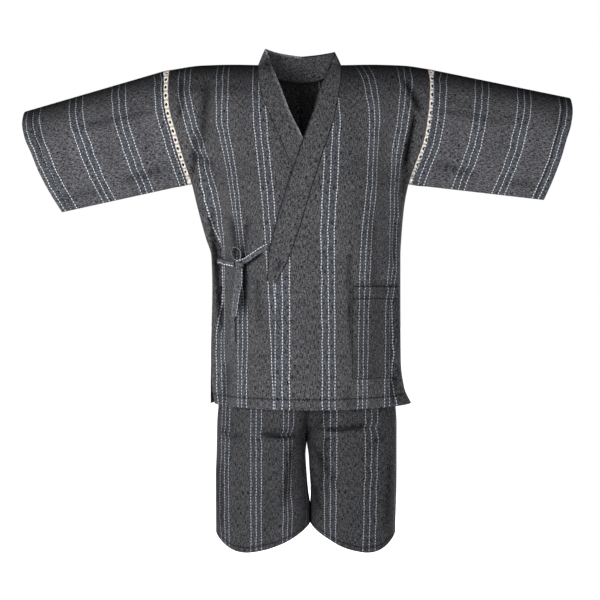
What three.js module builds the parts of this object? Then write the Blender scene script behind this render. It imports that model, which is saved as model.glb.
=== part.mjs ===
// Jinbei set: a wrapped summer jacket with wide sleeves, and its shorts, in the shape they have when worn.
// Millimetres, +Z up. The front faces -Y and +X is the wearer's left. The origin is the middle of the
// neck at shoulder height. Every piece is a wall of cloth on a surface worked out from the sizes below.
import * as THREE from 'three';

// ---------- driving sizes ----------
const CLOTH = 1.4; // wall of one layer of crinkled cotton
const COLLAR_WALL = 2.4; // the band collar is folded over its seam allowances
const SEAM = 0.3; // gap between two pieces at a seam
const PANEL_WIDTH = 300; // flat width of a body panel from centre back to side seam
const WRAP = 53; // how far a front panel is cut past the centre
const LACE_WIDTH = 16;
const LACE_CELL = 20; // repeat of the openwork along the lace
const ARM_RADIUS = 52; // half depth of the sleeve where it is round over the arm
const ARM_TAPER = 0.35; // how much fuller the armhole ring is at the top than at the bottom
const CUFF_RADIUS = 46;
const CUFF_TAPER = 0.7;
const ARMHOLE_BOTTOM = -250;
const ARMHOLE_FRONT = 298; // cloth length from shoulder ridge to armpit, front and back
const ARMHOLE_BACK = 325;
const HEM_DIP = 8; // how much lower the front hem hangs in the middle than at the sides
const UPPER_LIFT = 2.9; // the upper front lies this far out, over the lower front and its collar
const CROTCH = -802;
const SHORTS_HEM = -1050;

// Cloth lengths from the shoulder ridge (down the front +, down the back -): height and depth of the centre line.
const SECTIONS = [
  { t: -812, z: -733, y: 117 }, { t: -650, z: -572, y: 115 }, { t: -520, z: -442, y: 111 },
  { t: -400, z: -322, y: 117 }, { t: -290, z: -213, y: 122 }, { t: -200, z: -124, y: 118 },
  { t: -130, z: -56, y: 103 }, { t: -80, z: -15, y: 75 }, { t: -45, z: 1.5, y: 44.5 },
  { t: -20, z: 7, y: 20 }, { t: 0, z: 8, y: 0 }, { t: 20, z: 4, y: -19.5 },
  { t: 45, z: -8, y: -41 }, { t: 80, z: -35, y: -63 }, { t: 130, z: -80, y: -83 },
  { t: 200, z: -148, y: -101 }, { t: 290, z: -237, y: -115 }, { t: 400, z: -347, y: -121 },
  { t: 520, z: -467, y: -117 }, { t: 650, z: -597, y: -113 }, { t: 785, z: -732, y: -110 },
];

// The sides by height: armhole edges above the armpits, side seams below them, and the middle between.
const SIDES = [
  { z: -735, left: 240, right: -190, backLeft: 228, backRight: -200, middle: 12 },
  { z: -700, left: 224, right: -196, backLeft: 222, backRight: -200, middle: 11 },
  { z: -640, left: 216, right: -199, backLeft: 216, backRight: -199, middle: 10 },
  { z: -480, left: 215, right: -196, backLeft: 215, backRight: -196, middle: 9 },
  { z: -410, left: 215, right: -198, backLeft: 215, backRight: -198, middle: 8 },
  { z: -370, left: 217, right: -210, backLeft: 217, backRight: -210, middle: 5 },
  { z: -304, left: 223, right: -228, backLeft: 223, backRight: -228, middle: 2 },
  { z: -255, left: 232, right: -240, backLeft: 232, backRight: -240, middle: 0 },
  { z: -203, left: 250, right: -256, backLeft: 250, backRight: -256, middle: 0 },
  { z: -150, left: 266, right: -271, backLeft: 266, backRight: -271, middle: 0 },
  { z: -80, left: 275, right: -288, backLeft: 275, backRight: -288, middle: 0 },
  { z: -35, left: 277, right: -290, backLeft: 277, backRight: -290, middle: 0 },
  { z: 8, left: 273, right: -288, backLeft: 273, backRight: -288, middle: 0 },
];

// Where four lengthwise threads of each panel fall, by cloth length: the front edge and the threads 56, 150
// and 244 mm (left) or 70, 164 and 258 mm (right) from the centre of the cut.
const FALL_LEFT = [
  { t: -812, edge: -50, a: 57, b: 142, c: 194 }, { t: -330, edge: -50, a: 58, b: 146, c: 205 },
  { t: -100, edge: -60, a: 55, b: 146, c: 228 }, { t: 0, edge: -73, a: 36, b: 125, c: 218 },
  { t: 85, edge: -55, a: 58, b: 146, c: 224 }, { t: 173, edge: -50, a: 66, b: 156, c: 215 },
  { t: 235, edge: -50, a: 62, b: 153, c: 205 }, { t: 310, edge: -52, a: 59, b: 149, c: 200 },
  { t: 430, edge: -56, a: 54, b: 137, c: 198 }, { t: 600, edge: -57, a: 56, b: 130, c: 188 },
  { t: 785, edge: -58, a: 57, b: 128, c: 187 },
];
const FALL_RIGHT = [
  { t: -812, edge: 50, a: -70, b: -142, c: -180 }, { t: -330, edge: 50, a: -72, b: -150, c: -212 },
  { t: -100, edge: 50, a: -75, b: -165, c: -250 }, { t: 0, edge: 30, a: -93, b: -169, c: -252 },
  { t: 85, edge: 32, a: -93, b: -172, c: -256 }, { t: 173, edge: 36, a: -90, b: -172, c: -240 },
  { t: 235, edge: 42, a: -84, b: -160, c: -220 }, { t: 310, edge: 47, a: -76, b: -147, c: -199 },
  { t: 430, edge: 50, a: -66, b: -134, c: -176 }, { t: 600, edge: 55, a: -56, b: -128, c: -172 },
  { t: 785, edge: 60, a: -47, b: -128, c: -172 },
];
const THREADS_LEFT = [-WRAP, 56, 150, 244, PANEL_WIDTH];
const THREADS_RIGHT = [-WRAP, 70, 164, 258, PANEL_WIDTH];

// Front neckline, where the collar is seamed to each panel, by height.
const NECKLINE = [
  { z: -470, left: -57, right: 53 }, { z: -436, left: -37, right: 43 }, { z: -362, left: -9, right: 24 },
  { z: -258, left: 23, right: -6 }, { z: -187, left: 46, right: -36 }, { z: -112, left: 69, right: -68 },
  { z: -66, left: 78, right: -86 }, { z: -20, left: 84, right: -94 }, { z: 8, left: 86, right: -97 },
];
const BACK_NECK = 76; // cloth length from the ridge to the collar seam at the centre back

// The collar from the centre back of the neck, over the shoulder and down the front. Each row is one section:
// the seam edge and the free edge. Rows without a depth lie on the chest, seamed to the neckline.
const COLLAR_LEFT = [
  { seamX: 0.3, seamY: 68, seamZ: -11, freeX: 0.3, freeY: 64, freeZ: 41 },
  { seamX: 30, seamY: 64, seamZ: -8.5, freeX: 30, freeY: 58, freeZ: 43 },
  { seamX: 57, seamY: 50.5, seamZ: -1.5, freeX: 55, freeY: 42, freeZ: 44 },
  { seamX: 77, seamY: 26, seamZ: 7, freeX: 68, freeY: 22, freeZ: 43 },
  { seamX: 83.5, seamY: 3, seamZ: 11, freeX: 71, freeY: 2, freeZ: 37 },
  { seamZ: -18, freeX: 55, freeZ: -10 },
  { seamZ: -70, freeX: 38, freeZ: -50 },
  { seamZ: -116, freeX: 24, freeZ: -101 },
  { seamZ: -187, freeX: 1, freeZ: -166 },
  { seamZ: -258, freeX: -25, freeZ: -243 },
  { seamZ: -362, freeX: -56, freeZ: -345 },
  { seamZ: -436, freeX: -71, freeZ: -415 },
  { seamZ: -470, freeX: -74, freeZ: -465 },
];
const COLLAR_RIGHT = [
  { seamX: -0.3, seamY: 68, seamZ: -11, freeX: -0.3, freeY: 64, freeZ: 41 },
  { seamX: -33, seamY: 64, seamZ: -8.5, freeX: -31, freeY: 58, freeZ: 44 },
  { seamX: -64, seamY: 50.5, seamZ: -1.5, freeX: -59, freeY: 42, freeZ: 47 },
  { seamX: -86, seamY: 26, seamZ: 7, freeX: -75, freeY: 22, freeZ: 49 },
  { seamX: -94, seamY: 3, seamZ: 11, freeX: -79, freeY: 2, freeZ: 46 },
  { seamZ: -20, freeX: -64, freeZ: -2 },
  { seamZ: -66, freeX: -47, freeZ: -45 },
  { seamZ: -112, freeX: -29, freeZ: -95 },
  { seamZ: -187, freeX: 3, freeZ: -164 },
  { seamZ: -262, freeX: 37, freeZ: -243 },
  { seamZ: -350, freeX: 64, freeZ: -335 },
  { seamZ: -436, freeX: 73, freeZ: -420 },
  { seamZ: -470, freeX: 74, freeZ: -466 },
];

// Sleeves, wearer's left and right: root ring just outside the lace, cuff ring at the wrist end.
const CUFF_LEFT = { topX: 586, topZ: -63, bottomX: 532, bottomZ: -285 };
const CUFF_RIGHT = { topX: -606, topZ: -93, bottomX: -528, bottomZ: -312 };

// The largest folds of the jacket: a line on the front or back, the half width and the depth (- is a trough).
const FRONT_FOLDS = [
  { x0: -183, z0: -372, x1: -186, z1: -560, width: 12, depth: -9 },
  { x0: -120, z0: -418, x1: -119, z1: -640, width: 13, depth: -7 },
  { x0: -150, z0: -440, x1: -158, z1: -700, width: 16, depth: 4 },
  { x0: -204, z0: -48, x1: -214, z1: -150, width: 14, depth: -6 },
  { x0: -285, z0: -38, x1: -120, z1: -40, width: 12, depth: -5 },
  { x0: -168, z0: -330, x1: -190, z1: -250, width: 16, depth: -4 },
  { x0: 238, z0: -55, x1: 256, z1: -120, width: 12, depth: -5 },
  { x0: 242, z0: -145, x1: 214, z1: -300, width: 14, depth: -6 },
  { x0: 176, z0: -150, x1: 182, z1: -400, width: 18, depth: -4 },
  { x0: 98, z0: -120, x1: 100, z1: -430, width: 22, depth: 3 },
  { x0: 172, z0: -430, x1: 160, z1: -720, width: 18, depth: -4 },
  { x0: 20, z0: -520, x1: 24, z1: -735, width: 22, depth: 3 },
];
const BACK_FOLDS = [
  { x0: -150, z0: -120, x1: -140, z1: -520, width: 18, depth: -5 },
  { x0: -70, z0: -300, x1: -74, z1: -730, width: 22, depth: 4 },
  { x0: 60, z0: -250, x1: 72, z1: -730, width: 20, depth: -5 },
  { x0: 158, z0: -100, x1: 150, z1: -560, width: 18, depth: -5 },
  { x0: -60, z0: -60, x1: -190, z1: -110, width: 16, depth: -4 },
  { x0: 60, z0: -60, x1: 190, z1: -105, width: 16, depth: -4 },
];
const SLEEVE_FOLDS = [
  { x0: 300, z0: -60, x1: 520, z1: -120, width: 14, depth: -4 },
  { x0: 330, z0: -190, x1: 350, z1: -110, width: 14, depth: -5 },
  { x0: 420, z0: -240, x1: 440, z1: -120, width: 16, depth: 4 },
  { x0: 500, z0: -260, x1: 520, z1: -140, width: 14, depth: -4 },
  { x0: -310, z0: -60, x1: -540, z1: -140, width: 14, depth: -4 },
  { x0: -320, z0: -200, x1: -345, z1: -110, width: 14, depth: -5 },
  { x0: -420, z0: -250, x1: -430, z1: -130, width: 16, depth: 4 },
  { x0: -500, z0: -280, x1: -510, z1: -160, width: 14, depth: -4 },
];

// Shorts by height: outer sides, half depth of front and back, and how far the inner edges have
// come round from the centre seams (90 degrees) to the inseam (180 degrees).
const SHORTS = [
  { z: -1050, left: 205, right: -189, front: 84, back: 84, inner: 179 },
  { z: -960, left: 207, right: -189, front: 86, back: 88, inner: 179 },
  { z: -870, left: 208, right: -188, front: 88, back: 94, inner: 178 },
  { z: CROTCH, left: 208, right: -187, front: 91, back: 99, inner: 174 },
  { z: -775, left: 208, right: -186.5, front: 92, back: 101, inner: 140 },
  { z: -740, left: 206, right: -184, front: 93, back: 103, inner: 112 },
  { z: -700, left: 202, right: -181, front: 94, back: 105, inner: 96 },
  { z: -650, left: 198, right: -180, front: 94, back: 112.5, inner: 90 },
  { z: -580, left: 188, right: -170, front: 92, back: 110, inner: 90 },
  { z: -520, left: 172, right: -154, front: 86, back: 96, inner: 90 },
];
const SHORTS_MIDDLE = 10; // x of the centre seams
const INSEAM_DRIFT = 8; // how far to the left the inner edges have come at the hem
const LEG_GAP = 4.6; // half of the gap between the legs where it is widest
const HEM_RISE = { inner: 54, outer: 41 }; // how much higher the hem is at a leg's inner and outer edges
const SHORTS_FOLDS = [
  { x0: -88, z0: -792, x1: -14, z1: -800, width: 12, depth: -5 },
  { x0: 72, z0: -780, x1: 130, z1: -786, width: 12, depth: -4 },
  { x0: -150, z0: -850, x1: -140, z1: -1030, width: 16, depth: -4 },
  { x0: 120, z0: -830, x1: 126, z1: -1030, width: 18, depth: -4 },
  { x0: -60, z0: -860, x1: -66, z1: -1040, width: 18, depth: 4 },
  { x0: 60, z0: -860, x1: 64, z1: -1040, width: 18, depth: 4 },
];

// ---------- curves through tables ----------
/** Shape-preserving cubic through the points (xs, ys), straight beyond its ends. */
function smooth(xs, ys) {
  const steps = xs.slice(1).map((x, i) => x - xs[i]);
  const rises = steps.map((step, i) => (ys[i + 1] - ys[i]) / step);
  const slopes = xs.map((_, i) => {
    if (i === 0) return rises[0];
    if (i === xs.length - 1) return rises[i - 1];
    if (rises[i - 1] * rises[i] <= 0) return 0;
    const before = 2 * steps[i] + steps[i - 1];
    const after = steps[i] + 2 * steps[i - 1];
    return (before + after) / (before / rises[i - 1] + after / rises[i]);
  });
  return (at) => {
    if (at <= xs[0]) return ys[0] + slopes[0] * (at - xs[0]);
    if (at >= xs.at(-1)) return ys.at(-1) + slopes.at(-1) * (at - xs.at(-1));
    const i = xs.findIndex((x, k) => at <= xs[k + 1]);
    const u = (at - xs[i]) / steps[i];
    const bend = u * u * (3 - 2 * u);
    return ys[i] * (1 - bend) + ys[i + 1] * bend
      + steps[i] * (slopes[i] * u * (1 - u) ** 2 - slopes[i + 1] * u * u * (1 - u));
  };
}

/** One smooth curve for each named column of a table, by its key column. */
function columns(rows, key) {
  const names = Object.keys(rows[0]).filter((name) => name !== key);
  return Object.fromEntries(names.map((name) => [name, smooth(rows.map((r) => r[key]), rows.map((r) => r[name]))]));
}

/** 0 below the first value, 1 above the second, smooth between. */
function fade(from, to, at) {
  const u = THREE.MathUtils.clamp((at - from) / (to - from), 0, 1);
  return u * u * (3 - 2 * u);
}

const section = columns(SECTIONS, 't');
const sides = columns(SIDES, 'z');
// How far from its top corner to its bottom corner a cuff's edge has come, by share of its height.
const cuffBend = smooth([0, 0.12, 0.28, 0.44, 0.6, 0.84, 1], [0, 0, 0.08, 0.26, 0.42, 0.74, 1]);
const neckline = columns(NECKLINE, 'z');
const ridge = smooth([0, 90, 150, 220, 290], [0, 1, 2, 0, -10]);
const frontRows = SECTIONS.filter((row) => row.t >= 0).reverse();
const lengthAtHeight = smooth(frontRows.map((r) => r.z), frontRows.map((r) => r.t));

// ---------- the jacket's worn surface ----------
/** Height of the shoulder ridge and the cloth beside it, by width and cloth length. */
function heightAt(x, t) {
  return section.z(t) + ridge(Math.abs(x)) * Math.exp(-((t / 90) ** 2));
}

/** How far round the armhole ring a cloth length lies: 0 on the shoulder, 1 at the armpit. */
function ringDown(isLeft, t) {
  const edge = isLeft ? sides.left(0) : sides.right(0);
  const top = heightAt(edge, 0);
  return THREE.MathUtils.clamp((top - heightAt(edge, t)) / (top - ARMHOLE_BOTTOM), 0, 1);
}

/** Depth of a ring that is round over the arm and narrower below, at a share of its height. */
function ringDepth(down, radius, taper) {
  const angle = Math.acos(1 - 2 * down);
  return radius * Math.sin(angle) * (1 + taper * Math.cos(angle));
}

/** How much of the section is arm (1) rather than a closed body ring (0), by cloth length. */
function armShare(t) {
  return 1 - fade(235, 325, Math.abs(t) - (t < 0 ? 22 : 0));
}

function sideAt(z, isLeft, t) {
  if (t >= 0) return isLeft ? sides.left(z) : sides.right(z);
  return isLeft ? sides.backLeft(z) : sides.backRight(z);
}

function foldDepth(folds, x, z) {
  let sum = 0;
  for (const fold of folds) {
    const along = new THREE.Vector2(fold.x1 - fold.x0, fold.z1 - fold.z0);
    const length = along.length();
    along.divideScalar(length);
    const from = new THREE.Vector2(x - fold.x0, z - fold.z0);
    const run = from.dot(along) / length;
    const across = from.cross(along) / fold.width;
    const ends = fade(-0.15, 0.2, run) * (1 - fade(0.8, 1.15, run));
    sum += fold.depth * ends * Math.exp(-across * across);
  }
  return sum;
}

/** The jacket's surface before its folds, at a width x and a cloth length t. */
function wornSurface(x, t) {
  const height = heightAt(x, t);
  const middle = sides.middle(height);
  const side = sideAt(height, x > middle, t);
  const reach = Math.min(Math.abs((x - middle) / (side - middle)), 1);
  const arm = armShare(t);
  const edge = -Math.sign(t) * ringDepth(ringDown(x > middle, t), ARM_RADIUS, ARM_TAPER) * arm;
  const profile = (1 - arm) * Math.sqrt(1 - reach ** 3) + arm * (1 - reach ** 2);
  return new THREE.Vector3(x, edge + (section.y(t) - edge) * profile, height);
}

/** Width x at which a lengthwise thread of a panel lies, by the cloth length. */
function threadX(panel, w, t) {
  const height = heightAt(PANEL_WIDTH, t);
  const middle = sides.middle(height);
  const side = sideAt(height, panel.isLeft, t);
  const turn = THREE.MathUtils.degToRad(90 - 40 * armShare(t));
  const angles = [panel.fall.edge(t), panel.fall.a(t), panel.fall.b(t), panel.fall.c(t), side]
    .map((x) => Math.asin(THREE.MathUtils.clamp((x - middle) / (side - middle), -1, 1) * Math.sin(turn)));
  return middle + (side - middle) * Math.sin(Math.min(smooth(panel.threads, angles)(w), turn)) / Math.sin(turn);
}

/** The thread that lies at a width x, by halving. */
function threadAt(panel, x, t) {
  let low = -WRAP - 60;
  let high = PANEL_WIDTH;
  for (let i = 0; i < 24; i += 1) {
    const mid = (low + high) / 2;
    if ((threadX(panel, mid, t) - x) * panel.sign > 0) high = mid;
    else low = mid;
  }
  return (low + high) / 2;
}

/** How far a point of the upper front stands out, over the lower front and its collar. */
function upperLift(x, z) {
  return UPPER_LIFT * (1 - fade(80, 150, x)) * (1 - fade(-140, -60, z));
}

/** A point of the worn jacket with its folds, and the way out of the cloth there. */
function wornPoint(x, t, toSide) {
  const step = x > sides.middle(section.z(t)) ? -1.5 : 1.5;
  const at = wornSurface(x, t);
  const acrossEnd = wornSurface(x + step, t).sub(at).multiplyScalar(Math.sign(step));
  const along = wornSurface(x, t + 2).sub(wornSurface(x, t - 2));
  const normal = along.cross(acrossEnd).normalize();
  if (toSide !== undefined && armShare(t) < 1) {
    normal.lerp(new THREE.Vector3(toSide, 0, 0), (1 - armShare(t)) * 0.9).normalize();
  }
  const folds = t > 0 ? FRONT_FOLDS : BACK_FOLDS;
  at.addScaledVector(normal, foldDepth(folds, x, at.z) * fade(4, 60, Math.abs(t)));
  return { at, normal };
}

// ---------- solids from grids ----------
/** A closed wall between an inner and an outer grid of points, wound to face out. */
function wallGeometry(inner, outer) {
  const rows = inner.length;
  const cols = inner[0].length;
  const points = [...inner.flat(), ...outer.flat()];
  const at = (layer, i, j) => layer * rows * cols + i * cols + j;
  const faces = [];
  const quad = (a, b, c, d) => faces.push(a, b, c, a, c, d);
  for (let i = 0; i + 1 < rows; i += 1) {
    for (let j = 0; j + 1 < cols; j += 1) {
      quad(at(0, i, j), at(0, i, j + 1), at(0, i + 1, j + 1), at(0, i + 1, j));
      quad(at(1, i, j), at(1, i + 1, j), at(1, i + 1, j + 1), at(1, i, j + 1));
    }
    quad(at(0, i, 0), at(0, i + 1, 0), at(1, i + 1, 0), at(1, i, 0));
    quad(at(0, i + 1, cols - 1), at(0, i, cols - 1), at(1, i, cols - 1), at(1, i + 1, cols - 1));
  }
  for (let j = 0; j + 1 < cols; j += 1) {
    quad(at(0, 0, j + 1), at(0, 0, j), at(1, 0, j), at(1, 0, j + 1));
    quad(at(0, rows - 1, j), at(0, rows - 1, j + 1), at(1, rows - 1, j + 1), at(1, rows - 1, j));
  }
  return outward(points, faces);
}

/** A buffer geometry from points and triangles, turned so that its volume is positive. */
function outward(points, faces) {
  let volume = 0;
  for (let k = 0; k < faces.length; k += 3) {
    const [a, b, c] = [points[faces[k]], points[faces[k + 1]], points[faces[k + 2]]];
    volume += a.dot(new THREE.Vector3().crossVectors(b, c));
  }
  const wound = volume > 0 ? faces : faces.map((_, k) => faces[k - (k % 3) + [0, 2, 1][k % 3]]);
  const geometry = new THREE.BufferGeometry().setFromPoints(points);
  geometry.setIndex(wound);
  geometry.computeVertexNormals();
  return geometry;
}

/** The wall on a grid of surface points, from one distance out of the surface to another. */
function clothWall(grid, from, to) {
  const layer = (distance) => grid.map((row) => row.map((p) => p.at.clone().addScaledVector(p.normal, distance)));
  return wallGeometry(layer(from), layer(to));
}

const FABRIC = { roughness: 0.92, metalness: 0 };
const charcoalStripe = new THREE.MeshStandardMaterial({ name: 'striped cotton', color: 0x515156, ...FABRIC });
const charcoalPlain = new THREE.MeshStandardMaterial({ name: 'plain cotton', color: 0x454548, ...FABRIC });
const creamLace = new THREE.MeshStandardMaterial({ name: 'cotton lace', color: 0xe9e2d2, ...FABRIC });

const jinbei = new THREE.Group();

function addPiece(name, geometry, material) {
  const mesh = new THREE.Mesh(geometry, material);
  mesh.name = name;
  jinbei.add(mesh);
}

// ---------- body panels ----------
const POCKET_TOP = 529; // cloth length of its opening
const POCKET_BOTTOM = 725;
const FRONT_STATIONS = [0, 14, 30, 50, 75, 105, 140, 180, 220, 255, 280, ARMHOLE_FRONT,
  320, 350, 385, 430, 480, POCKET_TOP, 565, 620, 675, POCKET_BOTTOM, 755, 785];
const BACK_STATIONS = [-812, -750, -680, -600, -520, -450, -390, -350, -ARMHOLE_BACK, -295, -260, -220,
  -180, -140, -105, -BACK_NECK, -70, -60, -46, -30, -14];
const PANEL_COLUMNS = 16;

const leftPanel = { isLeft: true, sign: 1, fall: columns(FALL_LEFT, 't'), threads: THREADS_LEFT };
const rightPanel = { isLeft: false, sign: -1, fall: columns(FALL_RIGHT, 't'), threads: THREADS_RIGHT };

/** Where a panel's inner edge lies: centre back, neckline or front edge. */
function innerEdge(panel, t) {
  const z = section.z(t);
  const neck = panel.isLeft ? neckline.left : neckline.right;
  if (t >= 0) return z > NECKLINE[0].z - 1 ? neck(z) : panel.fall.edge(t);
  const curve = Math.sqrt(Math.max(0, 1 - (t / BACK_NECK) ** 2));
  return sides.middle(z) * fade(-BACK_NECK, -BACK_NECK - 80, t) + neck(SECTIONS[10].z) * curve
    + panel.sign * SEAM / 2;
}

function panelGrid(panel) {
  return [...BACK_STATIONS, ...FRONT_STATIONS].map((t) => {
    const first = threadAt(panel, innerEdge(panel, t), t);
    return Array.from({ length: PANEL_COLUMNS + 1 }, (_, j) => {
      const w = first + (PANEL_WIDTH - 2 * SEAM - first) * j / PANEL_COLUMNS;
      const point = wornPoint(threadX(panel, w, t), t, j === PANEL_COLUMNS ? panel.sign : undefined);
      const atArmhole = t <= ARMHOLE_FRONT && t >= -ARMHOLE_BACK;
      if (j === PANEL_COLUMNS && atArmhole) point.normal = armholePoint(panel, t).normal;
      const middle = sides.middle(point.at.z);
      const reach = Math.min((point.at.x - middle) / (threadX(panel, PANEL_WIDTH, t) - middle), 1);
      point.at.z -= HEM_DIP * fade(690, 785, t) * (1 - reach * reach);
      if (panel.isLeft && t > 0) point.at.addScaledVector(point.normal, upperLift(point.at.x, point.at.z));
      if (armShare(t) < 1) {
        const parted = (SEAM / 2 + 4 * (1 - fade(-735, -640, point.at.z))) * (1 - armShare(t));
        const front = Math.sign(t) * -1;
        if (point.at.y * front < parted) point.at.y = front * parted;
      }
      return point;
    });
  });
}

const leftGrid = panelGrid(leftPanel);
addPiece('body_left', clothWall(leftGrid, 0, CLOTH), charcoalStripe);
addPiece('body_right', clothWall(panelGrid(rightPanel), 0, CLOTH), charcoalStripe);

// ---------- lace and sleeves ----------
const RING_FRONT = FRONT_STATIONS.filter((t) => t <= ARMHOLE_FRONT);
const RING_BACK = BACK_STATIONS.filter((t) => t >= -ARMHOLE_BACK);

/** A point on the body's armhole edge, and the way along the arm there. */
function armholePoint(panel, t) {
  const { at } = wornPoint(threadX(panel, PANEL_WIDTH, t), t);
  const front = t >= 0 ? -1 : 1;
  if (at.y * front < SEAM / 2) at.y = front * SEAM / 2;
  const arm = new THREE.Vector3(panel.sign, 0, -0.18).normalize();
  const next = wornPoint(threadX(panel, PANEL_WIDTH, t + 3), t + 3).at;
  const before = wornPoint(threadX(panel, PANEL_WIDTH, t - 3), t - 3).at;
  const round = next.sub(before);
  const normal = new THREE.Vector3().crossVectors(round, arm).multiplyScalar(panel.sign);
  if (Math.abs(at.y) <= SEAM / 2) normal.y = 0;
  return { at, normal: normal.normalize(), arm };
}

/** Openwork tape: a wall with one diamond hole to each cell. */
function laceWall(panel, stations) {
  const ring = stations.map((t) => armholePoint(panel, t));
  const lengths = [0];
  for (let i = 1; i < ring.length; i += 1) lengths.push(lengths[i - 1] + ring[i].at.distanceTo(ring[i - 1].at));
  const cells = Math.round(lengths.at(-1) / LACE_CELL);
  const along = (share) => {
    const length = share * lengths.at(-1);
    const i = Math.min(lengths.findIndex((l) => length <= l + 1e-6), ring.length - 1) || 1;
    const u = (length - lengths[i - 1]) / (lengths[i] - lengths[i - 1]);
    const mix = (name) => ring[i - 1][name].clone().lerp(ring[i][name], u);
    return { at: mix('at'), normal: mix('normal').normalize(), arm: mix('arm') };
  };
  const points = [];
  const faces = [];
  const put = (share, out, layer) => {
    const p = along(share);
    points.push(p.at.addScaledVector(p.arm, 2 * SEAM + out).addScaledVector(p.normal, layer * CLOTH));
    return points.length - 1;
  };
  const rails = Array.from({ length: cells + 1 }, (_, i) => [0, 1].map((layer) => [
    put(i / cells, 0, layer), put(i / cells, LACE_WIDTH, layer)]));
  const quad = (a, b, c, d) => faces.push(a, b, c, a, c, d);
  const HOLE_ALONG = 0.36; // half length of a hole, as a share of its cell
  const HOLE_ACROSS = 0.3; // half width of a hole, as a share of the tape
  for (let i = 0; i < cells; i += 1) {
    const diamond = [0, 1].map((layer) => [
      put((i + 0.5) / cells, LACE_WIDTH * (0.5 - HOLE_ACROSS), layer),
      put((i + 0.5 + HOLE_ALONG) / cells, LACE_WIDTH / 2, layer),
      put((i + 0.5) / cells, LACE_WIDTH * (0.5 + HOLE_ACROSS), layer),
      put((i + 0.5 - HOLE_ALONG) / cells, LACE_WIDTH / 2, layer)]);
    for (const layer of [0, 1]) {
      const corner = [rails[i][layer][0], rails[i + 1][layer][0], rails[i + 1][layer][1], rails[i][layer][1]];
      for (let k = 0; k < 4; k += 1) {
        const tri = [corner[k], corner[(k + 1) % 4], diamond[layer][k]];
        const tip = [corner[(k + 1) % 4], diamond[layer][(k + 1) % 4], diamond[layer][k]];
        for (const face of [tri, tip]) faces.push(...(layer ? face : face.reverse()));
      }
    }
    for (let k = 0; k < 4; k += 1) {
      const n = (k + 1) % 4;
      quad(diamond[0][k], diamond[1][k], diamond[1][n], diamond[0][n]);
    }
    quad(rails[i][0][0], rails[i + 1][0][0], rails[i + 1][1][0], rails[i][1][0]);
    quad(rails[i + 1][0][1], rails[i][0][1], rails[i][1][1], rails[i + 1][1][1]);
  }
  quad(rails[0][0][1], rails[0][0][0], rails[0][1][0], rails[0][1][1]);
  quad(rails[cells][0][0], rails[cells][0][1], rails[cells][1][1], rails[cells][1][0]);
  return outward(points, faces);
}

/** Point of a sleeve: u from the lace (0) to the cuff (1), t round the armhole. */
function sleevePoint(panel, cuff, u, t) {
  const root = armholePoint(panel, t);
  const down = ringDown(panel.isLeft, t);
  const front = t >= 0 ? -1 : 1;
  const depth = Math.max(ringDepth(down, CUFF_RADIUS, CUFF_TAPER), SEAM / 2);
  const end = new THREE.Vector3(
    cuff.topX + (cuff.bottomX - cuff.topX) * cuffBend(down),
    front * depth,
    cuff.topZ + (cuff.bottomZ - cuff.topZ) * down,
  );
  const start = root.at.addScaledVector(root.arm, LACE_WIDTH + 4 * SEAM);
  return start.lerp(end, u);
}

const SLEEVE_ROWS = 9;

function sleeveGrid(panel, cuff) {
  return [...RING_BACK, ...RING_FRONT].map((t) => Array.from({ length: SLEEVE_ROWS + 1 }, (_, i) => {
    const u = i / SLEEVE_ROWS;
    const at = sleevePoint(panel, cuff, u, t);
    const along = sleevePoint(panel, cuff, u + 0.01, t).sub(at);
    const next = sleevePoint(panel, cuff, u, Math.min(t + 3, ARMHOLE_FRONT));
    const before = sleevePoint(panel, cuff, u, Math.max(t - 3, -ARMHOLE_BACK));
    const normal = next.sub(before).cross(along).multiplyScalar(panel.sign);
    if (Math.abs(at.y) <= SEAM / 2) normal.y = 0;
    normal.normalize().lerp(armholePoint(panel, t).normal, 1 - fade(0, 0.1, u)).normalize();
    const loose = fade(0, 0.12, u) * (1 - fade(0.9, 1, u)) * fade(0, 60, Math.abs(t));
    at.addScaledVector(normal, foldDepth(SLEEVE_FOLDS, at.x, at.z) * loose);
    return { at, normal };
  }));
}

for (const [name, panel, cuff] of [['left', leftPanel, CUFF_LEFT], ['right', rightPanel, CUFF_RIGHT]]) {
  addPiece(`lace_${name}_front`, laceWall(panel, RING_FRONT), creamLace);
  addPiece(`lace_${name}_back`, laceWall(panel, [...RING_BACK, -0.6]), creamLace);
  addPiece(`sleeve_${name}`, clothWall(sleeveGrid(panel, cuff), 0, CLOTH), charcoalStripe);
}

// ---------- collar ----------
const COLLAR_STEPS = 3; // sections between two rows of the table
const COLLAR_ACROSS = 3;
const COLLAR_GAP = 1.2; // the seam runs straight between a panel's points, so the curved collar keeps this clear

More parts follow.
